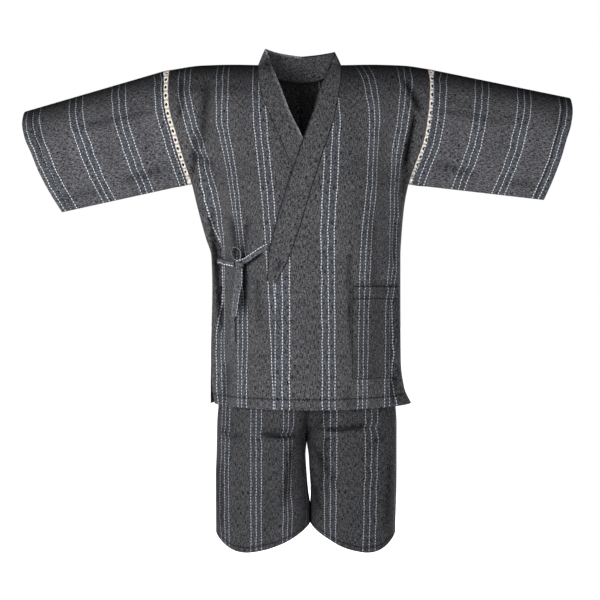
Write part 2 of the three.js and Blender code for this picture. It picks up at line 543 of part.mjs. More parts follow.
function collarGrid(rows, isUpper) {
  const sign = rows[1].seamX > 0 ? 1 : -1;
  const neck = sign > 0 ? neckline.left : neckline.right;
  const onChest = (x, z) => {
    const { at, normal } = wornPoint(x, lengthAtHeight(z));
    return at.addScaledVector(normal, isUpper ? upperLift(x, z) : 0);
  };
  const corner = (x, y, z) => (y === undefined ? onChest(x, z) : new THREE.Vector3(x, y, z));
  const curve = (points) => new THREE.CatmullRomCurve3(points, false, 'centripetal');
  const seam = curve(rows.map((row) => corner(row.seamX ?? neck(row.seamZ), row.seamY, row.seamZ)));
  const free = curve(rows.map((row) => corner(row.freeX, row.freeY, row.freeZ)));
  const sections = (rows.length - 1) * COLLAR_STEPS;
  const firstOnChest = rows.findIndex((row) => row.seamY === undefined);
  const point = (i, j) => {
    const u = THREE.MathUtils.clamp(i / sections, 0, 1);
    const share = j / COLLAR_ACROSS;
    const seamPoint = seam.getPoint(u);
    const settled = fade(firstOnChest - 0.7, firstOnChest, i / COLLAR_STEPS);
    const inside = (neck(Math.min(seamPoint.z, 8)) - seamPoint.x) * settled;
    const at = seamPoint.lerp(free.getPoint(u), share);
    at.x += (inside - sign * COLLAR_GAP) * (1 - share);
    at.y += (onChest(at.x, at.z).y - at.y) * settled;
    return at;
  };
  return Array.from({ length: sections + 1 }, (_, i) => Array.from({ length: COLLAR_ACROSS + 1 }, (_, j) => {
    const along = point(i + 0.5, j).sub(point(i - 0.5, j));
    const across = point(i, j + 0.5).sub(point(i, j - 0.5));
    const at = point(i, j);
    const normal = along.cross(across).multiplyScalar(-sign).normalize();
    if (i === 0) at.x = sign * SEAM / 2;
    if (i === 0) normal.setX(0).normalize();
    return { at, normal };
  }));
}

addPiece('collar_left', clothWall(collarGrid(COLLAR_LEFT, true), 0, COLLAR_WALL), charcoalPlain);
addPiece('collar_right', clothWall(collarGrid(COLLAR_RIGHT, false), 0, COLLAR_WALL), charcoalPlain);

// ---------- pocket ----------
const POCKET_INNER = 7.75; // its edges, in columns of the panel
const POCKET_OUTER = 14.7;
const POCKET_GAPE = 4;

/** The pocket lies on the left panel's own points, moved out. */
function pocketGrid() {
  const rows = leftGrid.filter((_, i) => {
    const t = [...BACK_STATIONS, ...FRONT_STATIONS][i];
    return t >= POCKET_TOP && t <= POCKET_BOTTOM;
  });
  const places = [POCKET_INNER];
  for (let j = Math.ceil(POCKET_INNER); j < POCKET_OUTER; j += 1) places.push(j);
  places.push(POCKET_OUTER);
  return rows.map((row, i) => places.map((place) => {
    const j = Math.floor(place);
    const at = row[j].at.clone().lerp(row[j + 1].at, place - j);
    const normal = row[j].normal.clone().lerp(row[j + 1].normal, place - j).normalize();
    const share = (place - POCKET_INNER) / (POCKET_OUTER - POCKET_INNER);
    const gape = i === 0 ? POCKET_GAPE * Math.sin(Math.PI * share) : 0;
    return { at: at.addScaledVector(normal, CLOTH + 2 * SEAM + gape), normal };
  }));
}
addPiece('pocket', clothWall(pocketGrid(), 0, CLOTH), charcoalStripe);

// ---------- ties ----------
const TIE_WIDTH = 12;
const TIE_NARROW = 10.4;
const TIE_WALL = 1.5;
const TIE_OUT = CLOTH + 1.2; // ties lie this far out of the lower front's inner face

/** A strip of cloth along points on the chest, each with its own distance out. */
function tieStrip(route, width) {
  const spots = route.map(({ x, z, out }) => {
    const { at, normal } = wornPoint(x, lengthAtHeight(z));
    return at.addScaledVector(normal, out);
  });
  const curve = new THREE.CatmullRomCurve3(spots, false, 'centripetal');
  const steps = (route.length - 1) * 4;
  const grid = Array.from({ length: steps + 1 }, (_, i) => {
    const at = curve.getPoint(i / steps);
    const along = curve.getTangent(i / steps);
    const { normal } = wornPoint(at.x, lengthAtHeight(at.z));
    const across = new THREE.Vector3().crossVectors(along, normal).normalize();
    const out = new THREE.Vector3().crossVectors(across, along).normalize();
    return [-0.5, 0, 0.5].map((side) => ({
      at: at.clone().addScaledVector(across, side * width).addScaledVector(out, side === 0 ? 0.5 : 0),
      normal: out,
    }));
  });
  return clothWall(grid, 0, TIE_WALL);
}

addPiece('tie_front', tieStrip([
  { x: -71.5, z: -392, out: TIE_OUT + 0.6 }, { x: -88, z: -400, out: TIE_OUT + 1 },
  { x: -106, z: -413, out: TIE_OUT + 4 }, { x: -121, z: -422.5, out: TIE_OUT + 6 }], TIE_WIDTH), charcoalStripe);
addPiece('tie_side', tieStrip([
  { x: -191, z: -420, out: CLOTH + 2.6 }, { x: -182, z: -419, out: TIE_OUT + 11 },
  { x: -160, z: -422, out: TIE_OUT + 6 }, { x: -140.3, z: -428, out: TIE_OUT + 6 }], TIE_NARROW), charcoalStripe);
addPiece('tie_tail_wide', tieStrip([
  { x: -129.5, z: -439.6, out: TIE_OUT + 8 }, { x: -129, z: -462, out: TIE_OUT + 10 },
  { x: -133, z: -495, out: TIE_OUT + 9 }, { x: -139, z: -541, out: TIE_OUT + 7 }], TIE_WIDTH), charcoalStripe);
addPiece('tie_tail_narrow', tieStrip([
  { x: -133, z: -439.4, out: TIE_OUT + 4 }, { x: -137, z: -480, out: TIE_OUT + 4 },
  { x: -142, z: -540, out: TIE_OUT + 3 }, { x: -143, z: -594, out: TIE_OUT + 2 }], TIE_NARROW), charcoalStripe);

/** The loop of the half bow: a strip that doubles back on itself above the knot. */
function tieLoop() {
  const base = wornPoint(-137, lengthAtHeight(-407.2));
  const up = new THREE.Vector3(-0.28, 0, 1).normalize();
  const side = new THREE.Vector3().crossVectors(base.normal, up).normalize();
  const centre = base.at.clone().addScaledVector(base.normal, TIE_OUT + 7);
  const steps = 14;
  const ring = (radiusAlong, radiusOut, width) => Array.from({ length: steps + 1 }, (_, i) => {
    const angle = THREE.MathUtils.degToRad(-80 + 340 * i / steps);
    const at = centre.clone()
      .addScaledVector(up, radiusAlong * Math.sin(angle))
      .addScaledVector(base.normal, radiusOut * Math.cos(angle));
    return [-0.5, 0.5].map((share) => at.clone().addScaledVector(side, share * width));
  });
  return wallGeometry(ring(13.5, 4.2, TIE_WIDTH), ring(15, 5.7, TIE_WIDTH));
}
addPiece('tie_loop', tieLoop(), charcoalStripe);

const knotSeat = wornPoint(-130, lengthAtHeight(-430));
const knot = new THREE.SphereGeometry(1, 12, 8);
knot.deleteAttribute('normal');
knot.deleteAttribute('uv');
const knotMesh = knotSeat.at.clone().addScaledVector(knotSeat.normal, CLOTH + 8);
knot.scale(9.5, 7.5, 9);
knot.translate(knotMesh.x, knotMesh.y, knotMesh.z);
addPiece('tie_knot', knot, charcoalStripe);

// ---------- shorts ----------
const shorts = columns(SHORTS, 'z');
const LEG_COLUMNS = 22;
const LEG_ROWS = [-520, -560, -610, -660, -700, -730, -755, -780, CROTCH, -830, -870, -920, -970, -1015, SHORTS_HEM];

/** x of the plane between the legs. */
function legMiddle(z) {
  return SHORTS_MIDDLE + INSEAM_DRIFT * fade(CROTCH, -1000, z);
}

/** Point of a leg: share from the front inner edge (0) round the outside to the back inner edge (1). */
function legSurface(isLeft, share, z) {
  const middle = legMiddle(z);
  const inner = THREE.MathUtils.degToRad(shorts.inner(z));
  const angle = (1 - 2 * share) * inner; // + front, 0 at the outer side, - back
  const side = (isLeft ? shorts.left(z) : shorts.right(z)) - middle;
  const half = side / (1 - Math.cos(inner));
  const depth = angle > 0 ? -shorts.front(z) : shorts.back(z);
  const square = 0.9; // below 1 the section is squarer than an ellipse
  const across = Math.sign(Math.cos(angle)) * Math.abs(Math.cos(angle)) ** square;
  const endAcross = Math.sign(Math.cos(inner)) * Math.abs(Math.cos(inner)) ** square;
  const x = middle + half * (across - endAcross) * (1 - Math.cos(inner)) / (1 - endAcross);
  const hemDown = THREE.MathUtils.clamp((CROTCH - z) / (CROTCH - SHORTS_HEM), 0, 1);
  const innerSide = 0.5 - 0.5 * Math.cos(angle);
  const rise = hemDown ** 2 * (HEM_RISE.inner * innerSide ** 2.4
    + HEM_RISE.outer * Math.max(Math.cos(angle), 0) ** 2.6);
  return new THREE.Vector3(x, depth * Math.abs(Math.sin(angle)) ** square, z + rise);
}

function legGrid(isLeft) {
  const sign = isLeft ? 1 : -1;
  return LEG_ROWS.map((z) => Array.from({ length: LEG_COLUMNS + 1 }, (_, j) => {
    const share = j / LEG_COLUMNS;
    const at = legSurface(isLeft, share, z);
    const step = share < 0.5 ? 0.006 : -0.006;
    const around = legSurface(isLeft, share + step, z).sub(at).multiplyScalar(Math.sign(step));
    const up = legSurface(isLeft, share, z + 3).sub(at);
    const normal = around.cross(up).multiplyScalar(sign).normalize();
    at.addScaledVector(normal, at.y < 0 ? foldDepth(SHORTS_FOLDS, at.x, at.z) : 0);
    if (z === LEG_ROWS[0]) normal.setZ(0).normalize();
    const outer = at.x + Math.min(normal.x * sign, 0) * sign * CLOTH - legMiddle(z);
    const apart = SEAM / 2 + LEG_GAP * fade(CROTCH, -850, z) * (1 - fade(-920, -1010, z));
    at.x += sign * Math.max(apart - outer * sign, 0);
    return { at, normal };
  }));
}
addPiece('leg_left', clothWall(legGrid(true), 0, CLOTH), charcoalStripe);
addPiece('leg_right', clothWall(legGrid(false), 0, CLOTH), charcoalStripe);

/** The casing stands on the legs' upper edge as one ring, open by a seam at the centre back. */
function waistbandWall() {
  const heights = [-520 + SEAM, -500, -481];
  const inset = [0, 3, 9];
  const ring = heights.map((z, i) => Array.from({ length: 33 }, (_, j) => {
    const share = j / 32;
    const isLeft = share > 0.5;
    const onLeg = legSurface(isLeft, isLeft ? (share - 0.5) * 2 : 1 - share * 2, -520);
    const middle = new THREE.Vector3(SHORTS_MIDDLE, 0, -520);
    const normal = onLeg.clone().sub(middle).setZ(0).normalize();
    const at = new THREE.Vector3(onLeg.x, onLeg.y, z).addScaledVector(normal, -inset[i]);
    if (j === 0) at.x = SHORTS_MIDDLE - SEAM / 2;
    if (j === 32) at.x = SHORTS_MIDDLE + SEAM / 2;
    return { at, normal };
  }));
  return clothWall(ring, 0, 2 * CLOTH);
}
addPiece('waistband', waistbandWall(), charcoalPlain);

export default jinbei;
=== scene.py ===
"""Jinbei set: a wrapped jacket with lace-joined sleeves, and its shorts, as thin cloth in their worn shape.

Lengths are millimetres until a mesh is written. +Z is up, the front faces -Y, +X is the wearer's left and
the origin is the middle of the neck at shoulder height.
"""
import logging
import math
from dataclasses import dataclass
from enum import Enum

import bmesh
import bpy
import numpy as np
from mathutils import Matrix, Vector


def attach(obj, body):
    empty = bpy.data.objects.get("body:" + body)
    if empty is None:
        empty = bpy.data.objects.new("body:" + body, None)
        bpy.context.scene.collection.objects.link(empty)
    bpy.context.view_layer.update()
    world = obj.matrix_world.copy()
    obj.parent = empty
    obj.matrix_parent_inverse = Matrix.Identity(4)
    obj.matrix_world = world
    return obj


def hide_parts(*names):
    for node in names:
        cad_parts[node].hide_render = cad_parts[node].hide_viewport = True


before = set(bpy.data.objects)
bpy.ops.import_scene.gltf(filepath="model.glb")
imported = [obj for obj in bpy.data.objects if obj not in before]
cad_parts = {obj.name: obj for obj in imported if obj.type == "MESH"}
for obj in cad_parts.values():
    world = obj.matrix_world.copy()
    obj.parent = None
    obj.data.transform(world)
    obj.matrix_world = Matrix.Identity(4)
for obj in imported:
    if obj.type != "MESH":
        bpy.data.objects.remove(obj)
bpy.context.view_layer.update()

MM = 0.001
LOG = logging.getLogger("jinbei")


# ---------- tables of the worn form ----------
# Cloth length t from the shoulder ridge (down the front +, down the back -): height and depth of the centre.
SECTIONS = (
    (-812, -733, 117), (-650, -572, 115), (-520, -442, 111), (-400, -322, 117), (-290, -213, 122),
    (-200, -124, 118), (-130, -56, 103), (-80, -15, 75), (-45, 1.5, 44.5), (-20, 7, 20), (0, 8, 0),
    (20, 4, -19.5), (45, -8, -41), (80, -35, -63), (130, -80, -83), (200, -148, -101), (290, -237, -115),
    (400, -347, -121), (520, -467, -117), (650, -597, -113), (785, -732, -110),
)
# The sides by height: left, right, back left, back right and the middle between.
SIDES = (
    (-735, 240, -190, 228, -200, 12), (-700, 224, -196, 222, -200, 11), (-640, 216, -199, 216, -199, 10),
    (-480, 215, -196, 215, -196, 9), (-410, 215, -198, 215, -198, 8), (-370, 217, -210, 217, -210, 5),
    (-304, 223, -228, 223, -228, 2), (-255, 232, -240, 232, -240, 0), (-203, 250, -256, 250, -256, 0),
    (-150, 266, -271, 266, -271, 0), (-80, 275, -288, 275, -288, 0), (-35, 277, -290, 277, -290, 0),
    (8, 273, -288, 273, -288, 0),
)
# Where four lengthwise threads of each panel fall, by cloth length: the front edge and three more.
FALL_LEFT = (
    (-812, -50, 57, 142, 194), (-330, -50, 58, 146, 205), (-100, -60, 55, 146, 228), (0, -73, 36, 125, 218),
    (85, -55, 58, 146, 224), (173, -50, 66, 156, 215), (235, -50, 62, 153, 205), (310, -52, 59, 149, 200),
    (430, -56, 54, 137, 198), (600, -57, 56, 130, 188), (785, -58, 57, 128, 187),
)
FALL_RIGHT = (
    (-812, 50, -70, -142, -180), (-330, 50, -72, -150, -212), (-100, 50, -75, -165, -250),
    (0, 30, -93, -169, -252), (85, 32, -93, -172, -256), (173, 36, -90, -172, -240),
    (235, 42, -84, -160, -220), (310, 47, -76, -147, -199), (430, 50, -66, -134, -176),
    (600, 55, -56, -128, -172), (785, 60, -47, -128, -172),
)
# Front neckline by height: where the collar is seamed to the left and the right panel.
NECKLINE = (
    (-470, -57, 53), (-436, -37, 43), (-362, -9, 24), (-258, 23, -6), (-187, 46, -36), (-112, 69, -68),
    (-66, 78, -86), (-20, 84, -94), (8, 86, -97),
)
# The collar from the centre back round the neck: seam edge, then free edge.
NECK_LEFT = (
    (0.3, 68, -19, 0.3, 64, 41), (30, 64, -16, 30, 58, 43), (57, 50.5, -7, 55, 42, 44),
    (77, 26, 3, 68, 22, 43), (83.5, 3, 9, 71, 2, 37),
)
NECK_RIGHT = (
    (-0.3, 68, -19, -0.3, 64, 41), (-33, 64, -16, -31, 58, 44), (-64, 50.5, -7, -59, 42, 47),
    (-86, 26, 3, -75, 22, 49), (-94, 3, 9, -79, 2, 46),
)
# The collar down the chest: height of its seam, then x and height of its free edge.
CHEST_LEFT = (
    (-18, 55, -10), (-70, 38, -50), (-116, 24, -101), (-187, 1, -166), (-258, -25, -243), (-362, -56, -345),
    (-436, -71, -415), (-470, -74, -465),
)
CHEST_RIGHT = (
    (-20, -64, -2), (-66, -47, -45), (-112, -29, -95), (-187, 3, -164), (-262, 37, -243), (-350, 64, -335),
    (-436, 73, -420), (-470, 74, -466),
)
# Shorts by height: outer sides, half depth of front and back, and how far the inner edges have come round.
SHORTS = (
    (-1050, 205, -189, 84, 84, 179), (-960, 207, -189, 86, 88, 179), (-870, 208, -188, 88, 94, 178),
    (-802, 208, -187, 91, 99, 174), (-775, 208, -186.5, 92, 101, 140), (-740, 206, -184, 93, 103, 112),
    (-700, 202, -181, 94, 105, 96), (-650, 198, -180, 94, 112.5, 90), (-580, 188, -170, 92, 110, 90),
    (-520, 172, -154, 86, 96, 90),
)


NECK_TOP = 8.0  # height of the neckline's top
OVERCAST_REACH = 165.0  # cloth further from the shoulder line has all of its light
RIDGE_CALM = (4.0, 60.0)  # cloth lengths from the shoulder ridge between which folds come up
WRAP_SIDE = (80.0, 150.0)  # widths and heights between which the upper front comes down on the lower one
WRAP_TOP = (-140.0, -60.0)


class Side(Enum):
    """The wearer's sides, by the sign of x."""

    LEFT = 1
    RIGHT = -1


def fade(start: float, end: float, at: np.ndarray) -> np.ndarray:
    """0 below the start, 1 above the end, smooth between."""
    share = np.clip((np.asarray(at, float) - start) / (end - start), 0, 1)
    return share * share * (3 - 2 * share)


class Smooth:
    """Shape-preserving cubic through points, straight beyond its ends."""

    def __init__(self, xs: np.ndarray, ys: np.ndarray) -> None:
        """Works out the slopes.

        Args:
            xs: Rising places, (k,).
            ys: Values there, (k,) or one row of them for each row that is asked for, (n, k).
        """
        self.xs, self.ys = np.asarray(xs, float), np.asarray(ys, float)
        steps = np.diff(self.xs)
        rises = np.diff(self.ys, axis=-1) / steps
        before, after = 2 * steps[1:] + steps[:-1], steps[1:] + 2 * steps[:-1]
        low, high = rises[..., :-1], rises[..., 1:]
        turns = low * high <= 0
        inner = (before + after) / (before / np.where(turns, 1, low) + after / np.where(turns, 1, high))
        inner = np.where(turns, 0, inner)
        self.slopes = np.concatenate([rises[..., :1], inner, rises[..., -1:]], axis=-1)
        self.steps = steps

    def __call__(self, at: np.ndarray) -> np.ndarray:
        """The curve's values.

        Args:
            at: Places, of any shape, or (n, m) where the curve has n rows.

        Returns:
            Values in the shape of the places.
        """
        at = np.asarray(at, float)
        last = len(self.xs) - 1
        i = np.clip(np.searchsorted(self.xs, at) - 1, 0, last - 1)

        def pick(values: np.ndarray, index: np.ndarray) -> np.ndarray:
            """Values at an index, row by row where there are rows."""
            return values[index] if values.ndim == 1 else np.take_along_axis(values, index, axis=-1)

        step = self.steps[i]
        raw = (at - self.xs[i]) / step
        u = np.clip(raw, 0, 1)
        bend = u * u * (3 - 2 * u)
        first, second = pick(self.slopes, i), pick(self.slopes, i + 1)
        value = pick(self.ys, i) * (1 - bend) + pick(self.ys, i + 1) * bend
        value = value + step * (first * u * (1 - u) ** 2 - second * u * u * (1 - u))
        return value + step * ((raw - u) * np.where(raw < 0, first, second))


class Table:
    """A table's columns as smooth curves over its first column."""

    def __init__(self, names: str, rows: tuple) -> None:
        """Makes one curve for each named column after the key."""
        values = np.array(rows, float)
        self.curves = {name: Smooth(values[:, 0], values[:, k + 1]) for k, name in enumerate(names.split())}

    def __call__(self, name: str, at: np.ndarray) -> np.ndarray:
        """Values of a column at some keys."""
        return self.curves[name](at)


@dataclass(frozen=True)
class Fold:
    """A ridge (depth over 0) or trough along a line on one face."""

    x0: float
    z0: float
    x1: float
    z1: float
    width: float
    depth: float

    STARTS = (-0.15, 0.2)  # where a fold rises and where it dies out, as shares of its length
    ENDS = (0.8, 1.15)
    NARROW = 10.0  # troughs that are less wide than this get painted shade inside
    DARK_DEPTH = 11.0  # depth at which no light would be left
    DARKEST = 0.88  # share of the light that a trough takes away at most

    def height(self, x: np.ndarray, z: np.ndarray) -> np.ndarray:
        """How far the fold lifts the points at x and z."""
        along_x, along_z = self.x1 - self.x0, self.z1 - self.z0
        length = math.hypot(along_x, along_z)
        run = ((x - self.x0) * along_x + (z - self.z0) * along_z) / length**2
        across = ((x - self.x0) * along_z - (z - self.z0) * along_x) / (length * self.width)
        ends = fade(*self.STARTS, run) * (1 - fade(*self.ENDS, run))
        return self.depth * ends * np.exp(-(across**2))

    def openness(self, x: np.ndarray, z: np.ndarray) -> np.ndarray:
        """How much light reaches into a narrow trough: 1 outside it."""
        if self.depth >= 0 or self.width >= self.NARROW:
            return np.ones(np.broadcast(x, z).shape)
        return 1 + np.maximum(self.height(x, z) / self.DARK_DEPTH, -self.DARKEST)


def folds(*rows: tuple) -> tuple[Fold, ...]:
    """Folds from their x0, z0, x1, z1, width and depth."""
    return tuple(Fold(*row) for row in rows)


def folded(group: tuple, x: np.ndarray, z: np.ndarray) -> np.ndarray:
    """Sum of a group of folds at the points x and z."""
    return sum((fold.height(x, z) for fold in group), np.zeros(np.broadcast(x, z).shape))


def lit(group: tuple, x: np.ndarray, z: np.ndarray) -> np.ndarray:
    """How much light reaches the points at x and z between a group of folds."""
    return np.prod([fold.openness(x, z) for fold in group], axis=0)


def overcast(length: np.ndarray, loss: float) -> np.ndarray:
    """How much light is left at distances from the shoulder line, which faces the dark ceiling."""
    return 1 - loss * (1 - fade(0, OVERCAST_REACH, np.abs(length)))


def jacket_folds(x: np.ndarray, z: np.ndarray, t: np.ndarray) -> np.ndarray:
    """How far the jacket's folds lift its points, which they do less near the shoulder ridge."""
    depth = np.where(t > 0, folded(FRONT_FOLDS, x, z), folded(BACK_FOLDS, x, z))
    return depth * fade(*RIDGE_CALM, np.abs(t))


def upper_lift(x: np.ndarray, z: np.ndarray) -> np.ndarray:
    """How far out the upper front lies where it wraps over the lower one."""
    return CLOTH.upper_lift * ((1 - fade(*WRAP_SIDE, x)) * (1 - fade(*WRAP_TOP, z)))


def lengths_along(line: np.ndarray) -> np.ndarray:
    """Lengths along a line of points, (n, 3), from its first one."""
    return np.concatenate([[0], np.cumsum(np.linalg.norm(np.diff(line, axis=0), axis=1))])


# Narrow troughs also get painted shade (Fold.openness); some lie where the tie, its tail and the pocket's
# edge cast shadows, so there they stand for painted shadows.
FRONT_FOLDS = folds(
    (-183, -372, -186, -560, 12, -9), (-120, -418, -119, -640, 13, -7), (-150, -440, -158, -700, 16, 4),
    (-204, -48, -214, -150, 14, -3), (-285, -38, -120, -40, 12, -5), (-168, -330, -190, -250, 16, -4),
    (238, -55, 256, -120, 12, -5), (242, -145, 214, -300, 14, -6), (176, -150, 182, -400, 18, -4),
    (98, -120, 100, -430, 22, 3), (172, -430, 160, -720, 18, -4), (20, -520, 24, -735, 22, 3),
    (-189, -372, -174, -560, 6.5, -15), (-51, -442, -42, -416, 5, -10), (106, -466, 102, -542, 5, -4.5),
    (102, -518, 107, -614, 5, -4), (-227, -148, -238, -236, 7, -6.5), (-260, -26, -262, -112, 6, -5.5),
    (-122, -404, -124, -530, 4.5, -11), (-197, -318, -189, -400, 6, -9), (-203, -36, -216, -176, 9, -6),
    (-150, -330, -136, -412, 8, -6), (-112, -330, -126, -410, 7, -5), (-96, -452, -88, -560, 9, -3.5),
    (-142, -460, -150, -600, 9, 4), (150, -300, 158, -470, 9, -3), (198, -470, 194, -700, 6, -9),
    (224, -32, 258, -98, 6, -9), (244, -106, 222, -214, 5, -11), (234, -160, 220, -280, 8, -6),
    (60, -190, 52, -330, 14, 2.5), (-62, -140, -40, -260, 13, 2.5), (104, -400, 99, -474, 6, -4),
    (-236, -190, -190, -214, 8, -6), (-84, -407, -122, -431, 5, -8), (204, -330, 196, -420, 7, -4),
    (208, -560, 200, -640, 7, 4), (206, -650, 198, -715, 7, -4), (-160, -640, -166, -730, 9, -5),
    (-60, -640, -52, -735, 11, -3), (96, -690, 104, -738, 9, -3), (150, -100, 196, -190, 11, -3.5),
    (-150, -96, -188, -176, 11, -3.5),
)
BACK_FOLDS = folds(
    (-150, -120, -140, -520, 18, -5), (-70, -300, -74, -730, 22, 4), (60, -250, 72, -730, 20, -5),
    (158, -100, 150, -560, 18, -5), (-60, -60, -190, -110, 16, -4), (60, -60, 190, -105, 16, -4),
    (-186, -352, -186, -560, 7, -10), (-118, -420, -128, -660, 9, -6), (-30, -120, -46, -300, 13, -4),
    (22, -420, 10, -700, 9, -5), (112, -380, 120, -690, 9, -6), (190, -300, 196, -520, 8, -8),
    (206, -46, 216, -142, 8, -8), (-206, -44, -218, -150, 8, -9), (236, -190, 196, -216, 8, -6),
    (-240, -188, -196, -222, 9, -6), (150, -640, 160, -725, 8, -5), (-160, -600, -152, -720, 8, -5),
)
SLEEVE_FOLDS = folds(
    (300, -60, 520, -120, 14, -4), (330, -190, 350, -110, 14, -5), (420, -240, 440, -120, 16, 4),
    (500, -260, 520, -140, 14, -4), (-310, -60, -540, -140, 14, -4), (-320, -200, -345, -110, 14, -5),
    (-420, -250, -430, -130, 16, 4), (-500, -280, -510, -160, 14, -4), (-300, -222, -390, -246, 8, -5),
    (-318, -96, -470, -128, 8, -4), (-440, -270, -530, -284, 8, -3), (296, -212, 380, -232, 8, -5),
    (286, -92, 430, -118, 8, -4), (450, -248, 520, -256, 8, -3), (-560, -130, -576, -210, 8, -3),
    (552, -100, 560, -180, 8, -3),
)
SHORTS_FOLDS = folds(
    (-88, -792, -14, -800, 12, -5), (72, -780, 130, -786, 12, -4), (-150, -850, -140, -1030, 16, -4),
    (120, -830, 126, -1030, 18, -4), (-60, -860, -66, -1040, 18, 4), (60, -860, 64, -1040, 18, 4),
    (-86, -793, -20, -801, 4, -10), (46, -782, 130, -779, 4, -10), (6, -745, -6, -800, 6, -4),
    (-176, -790, -128, -806, 7, -4), (176, -800, 138, -822, 8, -4), (-178, -860, -172, -1010, 9, -5),
    (186, -850, 178, -1000, 9, -5), (-28, -820, -42, -950, 7, -7), (52, -800, 40, -930, 9, -5),
    (14, -850, 42, -960, 6, -7), (74, -700, 30, -790, 8, -5), (26, -815, 74, -905, 7, -5),
)
SHORTS_BACK_FOLDS = folds(
    (-96, -770, -22, -812, 8, -7), (100, -764, 34, -806, 9, -8), (-150, -840, -138, -1020, 14, -5),
    (-62, -850, -70, -1030, 16, 4), (140, -830, 134, -1030, 13, -5), (66, -850, 60, -1040, 15, 4),
    (-178, -640, -120, -700, 12, -4), (180, -630, 132, -704, 12, -4),
)


@dataclass
class ClothSizes:
    """Sizes that the pieces share."""

    wall: float = 1.4
    seam: float = 0.3
    panel_width: float = 300.0
    wrap: float = 53.0
    cell: float = 5.0  # side of a mesh cell
    upper_lift: float = 2.9  # the upper front lies this far out
    hem_dip: float = 8.0  # how much lower the front hem hangs in the middle than at the sides


@dataclass
class ArmholeSizes:
    """Sizes of the ring where a sleeve joins."""

    radius: float = 52.0
    taper: float = 0.35
    bottom: float = -250.0
    front: float = 303.0  # cloth length from the shoulder ridge to the armpit
    back: float = 327.5
    slope: float = -0.18  # fall of the arm along its length
    parting: tuple = (235.0, 325.0)  # cloth lengths between which arm and body part
    back_lag: float = 22.0  # how much further down they part behind


CLOTH = ClothSizes()
ARMHOLE = ArmholeSizes()


# ---------- the worn form ----------
class WornForm:
    """The jacket's surface over the body it is worn on, before its folds."""

    RIDGE_REACH = 90.0  # cloth length over which the shoulder line's own rise dies out
    STEP_ACROSS = 1.5  # how far apart points are taken to find the way out of the cloth
    STEP_ALONG = 2.0

    def __init__(self) -> None:
        """Reads the tables."""
        self.section = Table("z y", SECTIONS)
        self.sides = Table("left right back_left back_right middle", SIDES)
        self.neckline = Table("left right", NECKLINE)
        self.ridge = Smooth([0, 90, 150, 220, 290], [0, 1, 2, 0, -10])
        front = [row for row in SECTIONS if row[0] >= 0][::-1]
        self.length_at_height = Smooth([row[1] for row in front], [row[0] for row in front])

    def height(self, x: np.ndarray, t: np.ndarray) -> np.ndarray:
        """Height of the cloth, by width and cloth length."""
        return self.section("z", t) + self.ridge(np.abs(x)) * np.exp(-((t / self.RIDGE_REACH) ** 2))

    def side(self, z: np.ndarray, is_left: np.ndarray, t: np.ndarray) -> np.ndarray:
        """x of the side seam or armhole at a height."""
        front = np.where(is_left, self.sides("left", z), self.sides("right", z))
        back = np.where(is_left, self.sides("back_left", z), self.sides("back_right", z))
        return np.where(t >= 0, front, back)

    def arm_share(self, t: np.ndarray) -> np.ndarray:
        """How much of the section is arm (1) rather than a closed body ring (0)."""
        return 1 - fade(*ARMHOLE.parting, np.abs(t) - np.where(t < 0, ARMHOLE.back_lag, 0))

    def ring_down(self, is_left: np.ndarray, t: np.ndarray) -> np.ndarray:
        """How far round the armhole a cloth length lies: 0 on the shoulder, 1 at the armpit."""
        edge = np.where(is_left, self.sides("left", 0), self.sides("right", 0))
        top = self.height(edge, np.zeros_like(t))
        return np.clip((top - self.height(edge, t)) / (top - ARMHOLE.bottom), 0, 1)

    @staticmethod
    def ring_depth(down: np.ndarray, radius: float, taper: float) -> np.ndarray:
        """Depth of a ring that is round over the arm and narrower below."""
        angle = np.arccos(1 - 2 * down)
        return radius * np.sin(angle) * (1 + taper * np.cos(angle))

    def surface(self, x: np.ndarray, t: np.ndarray) -> np.ndarray:
        """Points of the jacket.

        Args:
            x: Widths.
            t: Cloth lengths, of the same shape.

        Returns:
            Points, with a last axis of three.
        """
        height = self.height(x, t)
        middle = self.sides("middle", height)
        is_left = x > middle
        side = self.side(height, is_left, t)
        reach = np.minimum(np.abs((x - middle) / (side - middle)), 1)
        arm = self.arm_share(t)
        edge = -np.sign(t) * self.ring_depth(self.ring_down(is_left, t), ARMHOLE.radius, ARMHOLE.taper) * arm
        profile = (1 - arm) * np.sqrt(1 - reach**3) + arm * (1 - reach**2)
        return np.stack([x, edge + (self.section("y", t) - edge) * profile, height], axis=-1)

    def along(self, x: np.ndarray, t: np.ndarray) -> np.ndarray:
        """The way along the threads at some points."""
        return self.surface(x, t + self.STEP_ALONG) - self.surface(x, t - self.STEP_ALONG)

    def chest(self, x: np.ndarray, z: np.ndarray, out: np.ndarray) -> tuple[np.ndarray, np.ndarray]:
        """Points on the folded front.

        Args:
            x: Widths.
            z: Heights.
            out: Distances out of the surface.

        Returns:
            The points and the ways out of the cloth there.
        """
        x, t = np.asarray(x, float), self.length_at_height(np.asarray(z, float))
        at = self.surface(x, t)
        step = np.where(x > self.sides("middle", z), -self.STEP_ACROSS, self.STEP_ACROSS)
        across = (self.surface(x + step, t) - at) * np.sign(step)[..., None]
        normal = unit(np.cross(self.along(x, t), across))
        lift = folded(FRONT_FOLDS, x, at[..., 2]) * fade(*RIDGE_CALM, t) + out
        return at + normal * lift[..., None], normal


def stacked(*parts: np.ndarray) -> np.ndarray:
    """Arrays spread over one grid, as its last axis."""
    return np.stack(np.broadcast_arrays(*parts), axis=-1)


def unit(vectors: np.ndarray) -> np.ndarray:
    """Vectors brought to length 1."""
    return vectors / np.maximum(np.linalg.norm(vectors, axis=-1, keepdims=True), 1e-9)


def grid_normals(points: np.ndarray, sign: float) -> np.ndarray:
    """Ways out of a grid of points.

    Args:
        points: Points, (rows, columns, 3).
        sign: -1 turns them round.

    Returns:
        Unit vectors in the same shape.
    """
    return unit(np.cross(np.gradient(points, axis=0), np.gradient(points, axis=1))) * sign


